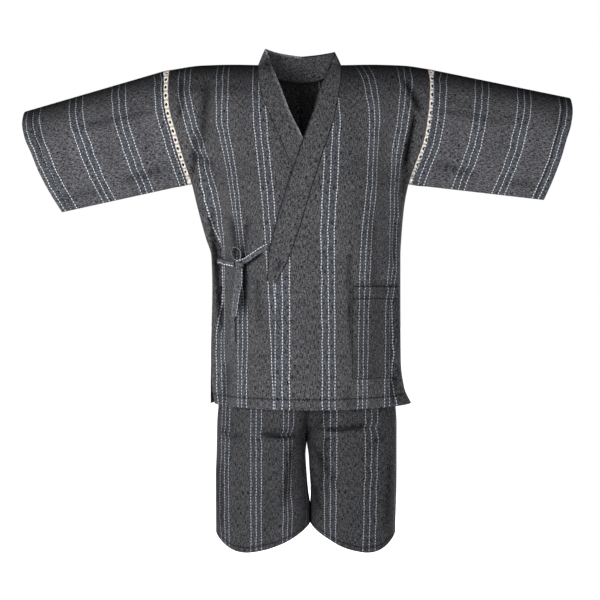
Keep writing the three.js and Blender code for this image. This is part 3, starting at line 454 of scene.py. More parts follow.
def nearer(line: np.ndarray, edge: np.ndarray) -> np.ndarray:
    """The smaller of a signed distance to a line and a plain one to an edge, with the first one's sign."""
    return np.where(edge < np.abs(line), np.copysign(edge, line), line)


def stations(*stops: float) -> np.ndarray:
    """Places from the first stop to the last, no further apart than a cell, with every stop among them."""
    counts = [max(2, math.ceil(abs(b - a) / CLOTH.cell) + 1) for a, b in zip(stops, stops[1:])]
    parts = [np.linspace(a, b, count)[:-1] for a, b, count in zip(stops, stops[1:], counts)]
    return np.append(np.concatenate(parts), stops[-1])


# ---------- meshes ----------
UNSEWN = 100.0  # distance to a stitched line where there is none near


@dataclass
class Cloth:
    """A grid of cloth: outer points, the flat cut they come from and the distance to a stitched line."""

    points: np.ndarray
    normals: np.ndarray
    cut: np.ndarray
    stitch: np.ndarray | None = None
    # Scales the colour: under 1 for painted shade; over 1 for painted highlights and the ties' lighter tone.
    shade: np.ndarray | None = None

    def flat(self) -> tuple[tuple[float, float], float]:
        """Width and length of the cut in metres, and its area."""
        size = np.ptp(self.cut.reshape(-1, 2), axis=0) * MM
        across = self.cut[1:, 1:] - self.cut[:-1, :-1]
        other = self.cut[1:, :-1] - self.cut[:-1, 1:]
        area = np.abs(across[..., 0] * other[..., 1] - across[..., 1] * other[..., 0]).sum() / 2 * MM * MM
        return (float(size[0]), float(size[1])), float(area)


def link(name: str, data: bpy.types.ID) -> bpy.types.Object:
    """Puts an object made of some data in the scene."""
    made = bpy.data.objects.new(name, data)
    bpy.context.scene.collection.objects.link(made)
    return made


def mesh_from(bm: bmesh.types.BMesh, name: str) -> bpy.types.Mesh:
    """A mesh of a finished bmesh."""
    mesh = bpy.data.meshes.new(name)
    bm.to_mesh(mesh)
    bm.free()
    return mesh


def object_from(name: str, mesh: bpy.types.Mesh, material: bpy.types.Material) -> bpy.types.Object:
    """Links a smooth-shaded object with one material."""
    mesh.materials.append(material)
    mesh.polygons.foreach_set("use_smooth", np.ones(len(mesh.polygons), bool))
    return link(name, mesh)


def thicken(piece: bpy.types.Object, wall: float) -> None:
    """Gives a sheet a wall that grows inward."""
    solid = piece.modifiers.new("wall", "SOLIDIFY")
    solid.thickness = wall * MM
    solid.offset = -1.0


def write_values(mesh: bpy.types.Mesh, name: str, values: np.ndarray) -> None:
    """Writes one number to each vertex, for a finish to read."""
    layer = mesh.attributes.new(name, "FLOAT", "POINT")
    layer.data.foreach_set("value", values.astype(np.float32))


def write_cut(mesh: bpy.types.Mesh, cut: np.ndarray, stitch: np.ndarray, shade: np.ndarray) -> None:
    """Writes the flat cut as UVs in metres, and what the finishes read at each vertex.

    Args:
        mesh: The mesh.
        cut: Flat places of its vertices, (n, 2).
        stitch: Distances to a stitched line, (n,).
        shade: Scales the colour at each vertex: under 1 for painted shade, as in folds; over 1 for painted
            highlights and lighter tones, (n,).
    """
    corners = np.empty(len(mesh.loops), np.int32)
    mesh.loops.foreach_get("vertex_index", corners)
    layer = mesh.uv_layers.new(name="cut")
    layer.data.foreach_set("uv", (cut[corners] * MM).astype(np.float32).ravel())
    write_values(mesh, "stitch", stitch * MM)
    write_values(mesh, "shade", shade)


def cloth_object(name: str, cloth: Cloth, wall: float, material: bpy.types.Material) -> bpy.types.Object:
    """A grid moved onto the cloth's outer face, with a wall that grows inward.

    Args:
        name: Name of the piece.
        cloth: Its outer face and cut.
        wall: Thickness.
        material: Finish.

    Returns:
        The object.
    """
    rows, columns = cloth.points.shape[:2]
    bm = bmesh.new()
    bmesh.ops.create_grid(bm, x_segments=columns - 1, y_segments=rows - 1, size=1.0)
    bm.verts.ensure_lookup_table()
    flat = np.array([vert.co[:2] for vert in bm.verts])
    j = np.rint((flat[:, 0] + 1) / 2 * (columns - 1)).astype(int)
    i = np.rint((flat[:, 1] + 1) / 2 * (rows - 1)).astype(int)
    for vert, place in zip(bm.verts, cloth.points[i, j] * MM):
        vert.co = place
    made = np.cross(np.gradient(cloth.points, axis=1), np.gradient(cloth.points, axis=0))
    if (made * cloth.normals).sum() < 0:
        bmesh.ops.reverse_faces(bm, faces=bm.faces)
    mesh = mesh_from(bm, name)
    stitch = np.full((rows, columns), UNSEWN) if cloth.stitch is None else cloth.stitch
    shade = np.ones((rows, columns)) if cloth.shade is None else cloth.shade
    write_cut(mesh, cloth.cut[i, j], stitch[i, j], shade[i, j])
    piece = object_from(name, mesh, material)
    thicken(piece, wall)
    return piece


# ---------- finishes ----------
def linear(code: str) -> tuple[float, float, float, float]:
    """A colour given as sRGB hex, in linear light."""
    parts = [int(code[k : k + 2], 16) / 255 for k in (1, 3, 5)]
    return (*[p / 12.92 if p <= 0.04045 else ((p + 0.055) / 1.055) ** 2.4 for p in parts], 1.0)


@dataclass(frozen=True)
class CottonFinish:
    """Crinkled cotton yarn-dyed in charcoal: sizes in millimetres of cloth."""

    dark: str = "#0e0e0f"
    light: str = "#59595c"
    tint: str = "#575a60"  # the lighter threads between a group's lines
    line: str = "#bfc1c6"
    group_pitch: float = 94.0  # from one group of three lines to the next
    line_pitch: float = 14.5
    line_half: float = 0.8  # half the width of a line
    dot_pitch: float = 6.5
    dot_from: float = -0.1  # where on its wave a dot begins to show, and where it shows in full
    dot_full: float = 0.3
    dot_gap: float = 0.12  # how much of a line still shows between its dots
    slubs: tuple = (740.0, 95.0, 1.0)  # long streaks: fineness across and along the stripes, per metre
    wefts: tuple = (150.0, 620.0, 1.0)  # crosswise streaks
    yarns: tuple = (600.0, 220.0, 1.0)  # short streaks
    weft_share: float = 0.42  # how much the wefts show beside the slubs, and the yarns beside both
    yarn_share: float = 0.3
    darkest: float = 0.37  # value of the weave's noise at which a thread is dark, and at which it is light
    lightest: float = 0.66
    crinkle: float = 5.0  # how far the uneven weave draws the stripes aside, over all of its noise
    crinkle_scale: float = 38.0  # fineness of that, per metre
    fading: float = 0.1  # how unevenly the dye has faded
    fading_scale: float = 18.0
    groove: float = 0.4  # how light the cloth is in the groove of a sewn line
    groove_half: tuple = (0.7, 2.4)  # half the groove's width where it is darkest, and where it ends
    line_edge: float = 0.4  # how soft a line's edges are, as a share of its half width
    tint_reach: tuple = (2.0, 2.3)  # how far the lighter threads and the lines reach, in half line pitches
    line_reach: float = 2.9
    bump: float = 0.25  # strength of the weave's relief, and its height
    relief: float = 1.2
    roughness: float = 0.92
    specular: float = 0.05
    striped: bool = True


@dataclass(frozen=True)
class LaceFinish:
    """Cotton crochet tape: cream, with knobbly stitches."""

    ground: str = "#dfd8d0"
    shade: str = "#a89e96"
    stitch: float = 900.0  # stitches per metre
    gauze: float = 0.42  # how light the thin net between the worked rims looks beside them
    worked: tuple = (0.05, 0.6)  # how worked the tape is where it begins to look light, and where it is
    bump: float = 0.7  # strength of the stitches' relief, and its height
    relief: float = 0.7
    roughness: float = 0.85
    specular: float = 0.2


class Nodes:
    """The nodes of a material or of the world, added one by one."""

    def __init__(self, owner: bpy.types.Material | bpy.types.World) -> None:
        """Starts with no nodes."""
        owner.use_nodes = True
        self.tree = owner.node_tree
        self.tree.nodes.clear()

    def add(self, kind: str, inputs: dict | None = None, **settings: object) -> bpy.types.Node:
        """Adds a node.

        Args:
            kind: Node type without its "ShaderNode".
            inputs: Nodes or sockets to link, or constants, by the input's name or index.
            settings: Properties of the node.

        Returns:
            The node.
        """
        node = self.tree.nodes.new("ShaderNode" + kind)
        for key, value in settings.items():
            setattr(node, key, value)
        for key, value in (inputs or {}).items():
            if isinstance(value, bpy.types.Node):
                value = next(socket for socket in value.outputs if socket.enabled)
            if isinstance(value, bpy.types.NodeSocket):
                self.tree.links.new(value, node.inputs[key])
            else:
                node.inputs[key].default_value = value
        return node


def striped_cotton(name: str, finish: CottonFinish) -> bpy.types.Material:
    """Charcoal cotton with groups of three dotted white lines, which reads as a crisp summer weave.

    Args:
        name: Name of the material.
        finish: Its colours and sizes.

    Returns:
        The material.
    """
    cotton = bpy.data.materials.new(name)
    nodes = Nodes(cotton)
    flat = nodes.add("UVMap", uv_map="cut")
    crinkle = nodes.add("TexNoise", {"Vector": flat, "Scale": finish.crinkle_scale, "Detail": 1.0})
    wander = nodes.add("VectorMath", {0: crinkle.outputs["Color"], 1: (0.5, 0.5, 0.5)}, operation="SUBTRACT")
    cut = nodes.add("VectorMath", {0: wander, 1: (finish.crinkle * MM, 0.0, 0.0), 2: flat},
                    operation="MULTIPLY_ADD")

    # The threads are drawn as uneven streaks, coarser than real ones, so that they hold from afar.
    noises = []
    for fineness in (finish.slubs, finish.wefts, finish.yarns):
        stretched = nodes.add("VectorMath", {0: cut, 1: fineness}, operation="MULTIPLY")
        noises.append(nodes.add("TexNoise", {"Vector": stretched, "Scale": 1.0, "Detail": 0.0}))
    slub, weft, yarn = noises
    crossed = nodes.add("Mix", {0: finish.weft_share, 2: slub, 3: weft})
    weave = nodes.add("Mix", {0: finish.yarn_share, 2: crossed, 3: yarn})
    level = nodes.add("MapRange", {"Value": weave, "From Min": finish.darkest, "From Max": finish.lightest})
    light = linear(finish.light)
    if finish.striped:
        half, step = finish.group_pitch / 2 * MM, finish.line_pitch / 2 * MM
        place = nodes.add("SeparateXYZ", {0: cut})
        centre = nodes.add("Math", {0: place.outputs["X"], 1: half, 2: -half}, operation="WRAP")
        reach = nodes.add("Math", {0: centre}, operation="ABSOLUTE")
        inside = nodes.add("MapRange", {"Value": reach, "From Min": finish.tint_reach[0] * step,
                                        "From Max": finish.tint_reach[1] * step,
                                        "To Min": 1.0, "To Max": 0.0}, interpolation_type="SMOOTHSTEP")
        light = nodes.add("Mix", {0: inside, 6: light, 7: linear(finish.tint)}, data_type="RGBA")
    thread = nodes.add("Mix", {0: level, 6: linear(finish.dark), 7: light}, data_type="RGBA")
    dye_fade_and_painted_edge_light = nodes.add("TexNoise", {"Vector": cut, "Scale": finish.fading_scale, "Detail": 3.0})
    patch = nodes.add("MapRange", {"Value": dye_fade_and_painted_edge_light, "From Min": 0.3, "From Max": 0.7,
                                   "To Min": 1 - finish.fading, "To Max": 1 + finish.fading})
    top = nodes.add("VectorMath", {0: thread, "Scale": patch}, operation="SCALE")

    if finish.striped:
        nearest = nodes.add("Math", {0: centre, 1: step, 2: -step}, operation="WRAP")
        off = nodes.add("Math", {0: nearest}, operation="ABSOLUTE")
        drawn = nodes.add("MapRange", {"Value": off,
                                       "From Min": finish.line_half * (1 - finish.line_edge) * MM,
                                       "From Max": finish.line_half * (1 + finish.line_edge) * MM,
                                       "To Min": 1.0, "To Max": 0.0}, interpolation_type="SMOOTHSTEP")
        gate = nodes.add("Math", {0: reach, 1: finish.line_reach * step}, operation="LESS_THAN")
        phase = nodes.add("Math", {0: place.outputs["Y"], 1: 2 * math.pi / (finish.dot_pitch * MM)},
                          operation="MULTIPLY")
        wave = nodes.add("Math", {0: phase}, operation="SINE")
        dots = nodes.add("MapRange", {"Value": wave, "From Min": finish.dot_from,
                                      "From Max": finish.dot_full, "To Min": finish.dot_gap, "To Max": 1.0})
        gated = nodes.add("Math", {0: drawn, 1: gate}, operation="MULTIPLY")
        mask = nodes.add("Math", {0: gated, 1: dots}, operation="MULTIPLY")
        top = nodes.add("Mix", {0: mask, 6: top, 7: linear(finish.line)}, data_type="RGBA")

    # Sewn lines lie in a groove, drawn darker. The shade attribute scales the colour: painted shade in deep
    # folds, on the shoulders, the pocket and the legs; painted highlights on a collar edge and the loop's
    # edges; a lighter tone on the ties.
    sewn = nodes.add("Attribute", attribute_name="stitch")
    distance = nodes.add("Math", {0: sewn.outputs["Fac"]}, operation="ABSOLUTE")
    groove = nodes.add("MapRange", {"Value": distance, "From Min": finish.groove_half[0] * MM,
                                    "From Max": finish.groove_half[1] * MM,
                                    "To Min": finish.groove, "To Max": 1.0}, interpolation_type="SMOOTHSTEP")
    painted_light_and_shade = nodes.add("Attribute", attribute_name="shade")
    groove_times_painted_light = nodes.add("Math", {0: groove, 1: painted_light_and_shade.outputs["Fac"]}, operation="MULTIPLY")
    colour = nodes.add("VectorMath", {0: top, "Scale": groove_times_painted_light}, operation="SCALE")
    relief = nodes.add("Math", {0: weave, 1: groove}, operation="ADD")
    bump = nodes.add("Bump", {"Height": relief, "Strength": finish.bump, "Distance": finish.relief * MM})
    surface = nodes.add("BsdfPrincipled", {"Base Color": colour, "Roughness": finish.roughness,
                                           "Normal": bump, "Specular IOR Level": finish.specular})
    nodes.add("OutputMaterial", {0: surface})
    return cotton


def cotton_lace(name: str, finish: LaceFinish) -> bpy.types.Material:
    """Cream crochet tape, whose rounded stitches give soft knobbly light and shade.

    Args:
        name: Name of the material.
        finish: Its colours and sizes.

    Returns:
        The material.
    """
    lace = bpy.data.materials.new(name)
    nodes = Nodes(lace)
    cut = nodes.add("UVMap", uv_map="cut")
    knots = nodes.add("TexVoronoi", {"Vector": cut, "Scale": finish.stitch}, feature="SMOOTH_F1")
    knob = nodes.add("Math", {0: 1.0, 1: knots.outputs["Distance"]}, operation="SUBTRACT")
    thread = nodes.add("Mix", {0: knob, 6: linear(finish.shade), 7: linear(finish.ground)}, data_type="RGBA")
    worked = nodes.add("Attribute", attribute_name="worked")
    raised = nodes.add("MapRange", {"Value": worked.outputs["Fac"], "From Min": finish.worked[0],
                                    "From Max": finish.worked[1], "To Min": finish.gauze, "To Max": 1.0},
                       interpolation_type="SMOOTHSTEP")
    colour = nodes.add("VectorMath", {0: thread, "Scale": raised}, operation="SCALE")
    bump = nodes.add("Bump", {"Height": knob, "Strength": finish.bump, "Distance": finish.relief * MM})
    surface = nodes.add("BsdfPrincipled", {"Base Color": colour, "Roughness": finish.roughness,
                                           "Normal": bump, "Specular IOR Level": finish.specular})
    nodes.add("OutputMaterial", {0: surface})
    return lace


# ---------- pieces ----------
FORM = WornForm()


class Dresser:
    """Stands each finished piece in for its node of the frame."""

    def __init__(self) -> None:
        """Makes the finishes."""
        self.body = striped_cotton("crinkled_cotton_lengthwise", CottonFinish())
        # The sleeves' copy has its light threads painted lighter than the body's, for the brighter light on
        # the sleeves.
        self.sleeve = striped_cotton("crinkled_cotton_round", CottonFinish(
            light="#616165", slubs=(110.0, 740.0, 1.0), wefts=(620.0, 150.0, 1.0), yarns=(240.0, 600.0, 1.0)))
        self.plain = striped_cotton("plain_cotton_band", CottonFinish(striped=False))
        self.lace = cotton_lace("cotton_crochet_tape", LaceFinish())
        self.slots = {self.body: "striped_cotton", self.sleeve: "striped_cotton",
                      self.plain: "plain_cotton", self.lace: "cotton_lace"}

    def place(self, piece: bpy.types.Object, node: str) -> None:
        """Puts a piece in the place of a node."""
        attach(piece, "root")
        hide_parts(node)
        LOG.info("%s: %d faces", piece.name, len(piece.data.polygons))

    def dress(self, node: str, cloth: Cloth, material: bpy.types.Material,
              wall: float = CLOTH.wall) -> None:
        """Makes and places a sheet of cloth.

        Args:
            node: Node of the frame that it stands in for.
            cloth: Outer face and cut.
            material: Finish.
            wall: Thickness.
        """
        piece = cloth_object("cloth_" + node, cloth, wall, material)
        self.place(piece, node)


class BodyPanel:
    """One half of the jacket in one length of cloth, from the back hem over the shoulder to the front hem."""

    BACK_HEM = -812.0  # cloth lengths of the two hems
    FRONT_HEM = 785.0
    HEM = 22.0  # from a hem's edge to its stitches
    BACK_NECK = 76.0  # cloth length of the back neckline, from the shoulder ridge
    BACK_NECK_RUN = 80.0  # cloth length in which the back neck's edge runs into the centre seam
    OPEN_TURN = 40.0  # degrees that a section open to the arm stays short of the side
    DIP_RUN = 95.0  # cloth length in which the front hem begins to hang lower
    ARMPIT_SHARE = 0.88  # folds die out from here to the side, near the armpit
    ARMPIT_DOWN = 0.8
    PARTED = 4.0  # how far the halves stay from the middle plane at the side seam
    SIDE_SLIT = (-735.0, -640.0)  # heights between which the side seam closes above its slit
    COLUMNS = 97
    UPPER_BACK = -100.0  # a row of the mesh
    NECK_ROWS = (0.4, 1.2, 2.4, 4.2, 6.6)  # more rows, where the back neck's edge is steepest
    SIDE_TURN = 0.9  # how far the way out of the cloth turns to the side along the side seam
    HALVINGS = 24  # steps of the search for a thread
    BEYOND = 60.0  # how far past the front edge threads are looked for
    ON_PLANE = 0.2  # points this near the middle plane are taken to lie on it
    RING_STEP = 3.0  # how far apart points of the armhole are taken to find the way out of it
    SHOULDER_LOSS = 0.88  # share of the light that is lost at the shoulder line

    def __init__(self, side: Side, fall: tuple, threads: tuple, group: float) -> None:
        """Keeps the panel's own sizes.

        Args:
            side: The wearer's side.
            fall: Where its threads fall, by cloth length.
            threads: Those threads' distances from the centre.
            group: Distance of a group of stripes from the centre.
        """
        self.side, self.sign, self.group = side, side.value, group
        self.fall = Table("edge a b c", fall)
        self.threads = (-CLOTH.wrap, *threads, CLOTH.panel_width)

    def thread_x(self, w: np.ndarray, t: np.ndarray) -> np.ndarray:
        """x at which threads lie.

        Args:
            w: Threads' distances from the centre, (n, m).
            t: Cloth lengths, (n,).

        Returns:
            Widths, (n, m).
        """
        height = FORM.height(np.full_like(t, CLOTH.panel_width), t)
        middle = FORM.sides("middle", height)[:, None]
        side = FORM.side(height, self.side is Side.LEFT, t)[:, None]
        turn = np.radians(90 - self.OPEN_TURN * FORM.arm_share(t))[:, None]
        knots = np.stack([self.fall(name, t) for name in ("edge", "a", "b", "c")] + [side[:, 0]], axis=-1)
        angles = np.arcsin(np.clip((knots - middle) / (side - middle), -1, 1) * np.sin(turn))
        angle = np.minimum(Smooth(self.threads, angles)(w), turn)
        return middle + (side - middle) * np.sin(angle) / np.sin(turn)

    def thread_at(self, x: np.ndarray, t: np.ndarray) -> np.ndarray:
        """The threads that lie at widths x, by halving."""
        low, high = np.full_like(t, -CLOTH.wrap - self.BEYOND), np.full_like(t, CLOTH.panel_width)
        for _ in range(self.HALVINGS):
            mid = (low + high) / 2
            past = (self.thread_x(mid[:, None], t)[:, 0] - x) * self.sign > 0
            low, high = np.where(past, low, mid), np.where(past, mid, high)
        return (low + high) / 2

    def neck(self, z: np.ndarray) -> np.ndarray:
        """x of the front neckline."""
        return FORM.neckline(self.side.name.lower(), z)

    def inner_edge(self, t: np.ndarray) -> np.ndarray:
        """x of the panel's inner edge: centre back, neckline or front edge."""
        z = FORM.section("z", t)
        front = np.where(z > NECKLINE[0][0] - 1, self.neck(z), self.fall("edge", t))
        curve = np.sqrt(np.maximum(0, 1 - (t / self.BACK_NECK) ** 2))
        middle = FORM.sides("middle", z) * fade(-self.BACK_NECK, -self.BACK_NECK - self.BACK_NECK_RUN, t)
        back = middle + self.neck(np.full_like(t, NECK_TOP)) * curve - self.sign * CLOTH.seam
        return np.where(t >= 0, front, back)

    def grid(self, t: np.ndarray, shares: np.ndarray) -> tuple[np.ndarray, np.ndarray, np.ndarray]:
        """Points of the folded panel's inner face.

        Args:
            t: Cloth lengths, (n,).
            shares: Shares of the way from the inner edge to the side, (m,).

        Returns:
            Points and ways out, (n, m, 3), and the threads, (n, m).
        """
        first = self.thread_at(self.inner_edge(t), t)[:, None]
        w = first + (CLOTH.panel_width - first) * shares
        x = self.thread_x(w, t)
        length = np.broadcast_to(t[:, None], x.shape)
        points = FORM.surface(x, length)
        normals = grid_normals(points, self.sign)
        closed = (1 - FORM.arm_share(length)) * self.SIDE_TURN * (shares == 1)
        normals = unit(normals * (1 - closed[..., None]) + np.array([self.sign, 0, 0]) * closed[..., None])
        z = points[..., 2]
        middle = FORM.sides("middle", z)
        reach = np.minimum((x - middle) / (x[:, -1:] - middle), 1)
        dip = CLOTH.hem_dip * fade(self.FRONT_HEM - self.DIP_RUN, self.FRONT_HEM, length) * (1 - reach**2)
        points = points - np.array([0, 0, 1]) * dip[..., None]
        down = FORM.ring_down(np.array(self.side is Side.LEFT), t)[:, None]
        calm = 1 - fade(self.ARMPIT_SHARE, 1, shares) * fade(self.ARMPIT_DOWN, 1, down)
        depth = jacket_folds(x, z, length) * calm
        if self.side is Side.LEFT:
            depth = depth + upper_lift(x, z) * (length > 0)
        points = points + normals * depth[..., None]
        front = -np.sign(length)
        parted = self.PARTED * (1 - fade(*self.SIDE_SLIT, z)) * (1 - FORM.arm_share(length))
        tight = (points[..., 1] * front < parted) & (FORM.arm_share(length) < 1)
        points[..., 1] = np.where(tight, front * parted, points[..., 1])
        return points, normals, w

    def openness(self, points: np.ndarray, t: np.ndarray) -> np.ndarray:
        """How much light reaches into the folds at some points."""
        x, z = points[..., 0], points[..., 2]
        return np.where(t > 0, lit(FRONT_FOLDS, x, z), lit(BACK_FOLDS, x, z))

    def cloth(self) -> Cloth:
        """The whole panel."""
        t = stations(self.BACK_HEM, -ARMHOLE.back, self.UPPER_BACK, -self.BACK_NECK, 0, ARMHOLE.front,
                     self.FRONT_HEM)
        near = -self.BACK_NECK + np.array(self.NECK_ROWS)
        t = np.unique(np.round(np.concatenate([t, near]), 3))
        shares = np.linspace(0, 1, self.COLUMNS)
        points, normals, w = self.grid(t, shares)
        length = np.broadcast_to(t[:, None], w.shape)
        hems = np.maximum(length - self.FRONT_HEM + self.HEM, self.BACK_HEM + self.HEM - length)
        stitch = nearer(hems, np.where(length < -self.BACK_NECK, np.abs(w), UNSEWN))
        cut = stacked(w - self.group, length)
        # Painted shade: darker in narrow folds and towards the shoulder line.
        shade = self.openness(points, length) * overcast(length, self.SHOULDER_LOSS)
        return Cloth(points + normals * CLOTH.wall, normals, cut, stitch, shade)

    def armhole(self, t: np.ndarray) -> tuple[np.ndarray, np.ndarray, np.ndarray]:
        """The edge that the lace is seamed to.

        Args:
            t: Cloth lengths, (n,).

        Returns:
            Points, ways out and the way along the arm, (n, 3) each.
        """

        def edge(length: np.ndarray) -> np.ndarray:
            """Points of the panel's edge."""
            x = self.thread_x(np.full((len(length), 1), CLOTH.panel_width), length)[:, 0]
            points = FORM.surface(x, length)
            near = FORM.surface(x - FORM.STEP_ACROSS * self.sign, length)
            normals = unit(np.cross(FORM.along(x, length), (points - near) * self.sign))
            down = FORM.ring_down(np.array(self.side is Side.LEFT), length)
            depth = jacket_folds(x, points[:, 2], length) * (1 - fade(self.ARMPIT_DOWN, 1, down))
            return points + normals * depth[:, None]

        at = edge(t)
        front = np.where(t >= 0, -1.0, 1.0)
        at[:, 1] = np.where(at[:, 1] * front < 0, 0, at[:, 1])
        arm = unit(np.array([self.sign, 0, ARMHOLE.slope]))
        normals = np.cross(edge(t + self.RING_STEP) - edge(t - self.RING_STEP), arm) * self.sign
        normals[:, 1] = np.where(np.abs(at[:, 1]) <= self.ON_PLANE, 0, normals[:, 1])
        return at, unit(normals), np.broadcast_to(arm, at.shape)


@dataclass
class SleeveSizes:
    """A sleeve from the lace to its cuff ring."""

    top_x: float
    top_z: float
    bottom_x: float
    bottom_z: float
    group: float  # share of the sleeve's length from the cuff to the first group of stripes
    cover: float  # how far the sleeve's edge lies over the front lace
    group_step: float = 0.303  # the same share from one group to the next
    radius: float = 46.0
    taper: float = 0.7
    hem: float = 22.0
    lace: float = 16.0
    overlap: float = 1.6  # how far out the sleeve's edge lies where it covers the lace
    cover_run: tuple = (10.0, 70.0)  # cloth lengths in which the edge comes over the front lace
    overlap_run: float = 0.08  # shares of the sleeve's length from the lace
    rooted: float = 0.1
    loose: tuple = (0.12, 0.9)  # folds are full between these shares
    ridge_calm: float = 60.0
    columns: int = 61
    # Painted shade towards the shoulder line: the share of the light lost there.
    shoulder_loss: float = 0.86


# How far from its top corner to its bottom corner a cuff's edge has come, by share of its height.
CUFF_BEND = Smooth([0, 0.12, 0.28, 0.44, 0.6, 0.84, 1], [0, 0, 0.08, 0.26, 0.42, 0.74, 1])


class Sleeve:
    """A wide sleeve, cut straight across, with its stripes running round the arm."""

    def __init__(self, panel: BodyPanel, sizes: SleeveSizes) -> None:
        """Keeps the panel that it joins, and its sizes."""
        self.panel, self.sizes = panel, sizes

    def cloth(self) -> Cloth:
        """The sleeve round the arm, open at the cuff."""
        t = stations(-ARMHOLE.back, 0, ARMHOLE.front)
        u = np.linspace(0, 1, self.sizes.columns)
        root, outward, arm = self.panel.armhole(t)
        sizes = self.sizes
        down = FORM.ring_down(self.panel.side is Side.LEFT, t)
        depth = WornForm.ring_depth(down, sizes.radius, sizes.taper) * np.where(t >= 0, -1, 1)
        end = np.stack([
            sizes.top_x + (sizes.bottom_x - sizes.top_x) * CUFF_BEND(down), depth,
            sizes.top_z + (sizes.bottom_z - sizes.top_z) * down], axis=-1)
        over = fade(*sizes.cover_run, t)[:, None]
        start = root + arm * (sizes.lace - sizes.cover * over)
        points = start[:, None] * (1 - u[:, None]) + end[:, None] * u[:, None]
        normals = grid_normals(points, self.panel.sign)
        rooted = (1 - fade(0, sizes.rooted, u))[:, None]
        normals = unit(normals * (1 - rooted) + outward[:, None] * rooted)
        full = fade(0, sizes.loose[0], u) * (1 - fade(sizes.loose[1], 1, u))
        loose = full * fade(0, sizes.ridge_calm, np.abs(t))[:, None]
        x, z = points[..., 0], points[..., 2]
        covering = sizes.overlap * over * (1 - fade(0, sizes.overlap_run, u))
        lift = folded(SLEEVE_FOLDS, x, z) * loose + covering
        points = points + normals * lift[..., None]
        from_cuff = np.linalg.norm(end - start, axis=-1)[:, None] * (1 - u)
        across = (1 - u - sizes.group) / sizes.group_step * CottonFinish.group_pitch
        cut = stacked(across, t[:, None])
        # Painted shade: darker in narrow folds and towards the shoulder line.
        shade = (1 - (1 - lit(SLEEVE_FOLDS, x, z)) * loose) * overcast(t, sizes.shoulder_loss)[:, None]
        return Cloth(points + normals * CLOTH.wall, normals, cut, from_cuff - sizes.hem, shade)


@dataclass
class LaceSizes:
    """Crochet tape between a panel and a sleeve."""

    width: float = 16.0
    cell: float = 20.0
    hole_along: float = 0.24  # half length of a hole, as a share of its cell
    hole_across: float = 0.19
    hole_middle: float = 0.34  # place of the holes across the tape
    cord: float = 0.7  # how far the worked rim of a hole stands up
    cord_run: float = 1.4  # the rim is this many times narrower than the way from a hole to its cell's edge
    weld: float = 0.02  # points of neighbouring cells that lie this near are one
    around: int = 16
    rounds: int = 5
    thread_share: float = 0.78  # share of the tape's cut that is thread, not hole


class Lace:
    """Openwork tape along half an armhole, with one diamond hole to a cell."""

    def __init__(self, panel: BodyPanel, t: np.ndarray, sizes: LaceSizes) -> None:
        """Measures the edge that the tape follows."""
        self.sizes = sizes
        self.ring = panel.armhole(t)
        self.lengths = lengths_along(self.ring[0])

    def points(self, along: np.ndarray, across: np.ndarray, out: np.ndarray) -> np.ndarray:
        """Points of the tape.

        Args:
            along: Lengths along the edge.
            across: Distances from the edge.
            out: Distances out of the cloth.

        Returns:
            Points, (n, 3).
        """
        at, normal, arm = (
            np.stack([np.interp(along, self.lengths, part[:, k]) for k in range(3)], axis=-1)
            for part in self.ring
        )
        return at + arm * across[:, None] + unit(normal) * out[:, None]

    def build(self, name: str, material: bpy.types.Material) -> tuple[bpy.types.Object, float]:
        """Makes the tape from grids bent round the holes.

        Args:
            name: Name of the piece.
            material: Finish.

        Returns:
            The object, and the tape's length.
        """
        sizes, total = self.sizes, float(self.lengths[-1])
        cells = round(total / sizes.cell)
        pitch = total / cells
        bm = bmesh.new()
        worked = bm.verts.layers.float.new("worked")
        for cell in range(cells):
            made = bmesh.ops.create_grid(bm, x_segments=sizes.around, y_segments=sizes.rounds,
                                         size=1.0)["verts"]
            flat = np.array([vert.co[:2] for vert in made])
            angle = (flat[:, 0] + 1) * math.pi
            share = (flat[:, 1] + 1) / 2
            corner = np.maximum(np.abs(np.cos(angle)), np.abs(np.sin(angle)))
            border = np.stack([np.cos(angle) / corner / 2, np.sin(angle) / corner / 2], axis=-1)
            diamond = np.abs(np.cos(angle)) + np.abs(np.sin(angle))
            rim = np.stack([np.cos(angle) / diamond * sizes.hole_along,
                            np.sin(angle) / diamond * sizes.hole_across], axis=-1)
            rim[:, 1] += sizes.hole_middle - 0.5
            place = rim * (1 - share)[:, None] + border * share[:, None]
            out = CLOTH.wall + sizes.cord * np.sin(np.pi * np.minimum(share * sizes.cord_run, 1))
            spots = self.points((cell + 0.5 + place[:, 0]) * pitch, (0.5 + place[:, 1]) * sizes.width, out)
            for vert, spot, away in zip(made, spots * MM, share):
                vert.co, vert[worked] = spot, 1 - away
        bmesh.ops.remove_doubles(bm, verts=bm.verts, dist=sizes.weld * MM)
        bmesh.ops.recalc_face_normals(bm, faces=bm.faces)
        centre = Vector(self.ring[0].mean(axis=0) * MM)
        if sum((face.calc_center_median() - centre).dot(face.normal) for face in bm.faces) < 0:
            bmesh.ops.reverse_faces(bm, faces=bm.faces)
        mesh = mesh_from(bm, name)
        places = np.array([vert.co for vert in mesh.vertices]) / MM
        write_cut(mesh, places[:, [0, 2]], np.full(len(places), UNSEWN), np.ones(len(places)))
        piece = object_from(name, mesh, material)
        thicken(piece, CLOTH.wall)
        return piece, total


@dataclass
class CollarSizes:
    """The folded band round the neck."""

    wall: float = 2.4
    cover: float = 0.8  # how far the band lies over the panel's edge
    puff: float = 0.6  # rounding of the folded band
    # How far in from the free edge its painted light reaches.
    edge: float = 3.0
    painted_edge_light: float = 0.0  # how much lighter the fold at the free edge is painted, as a highlight; under 0 it is painted darker, as shade
    settle: float = 0.7  # how many sections before the chest the band begins to lie on it
    steps: int = 10
    across: int = 12


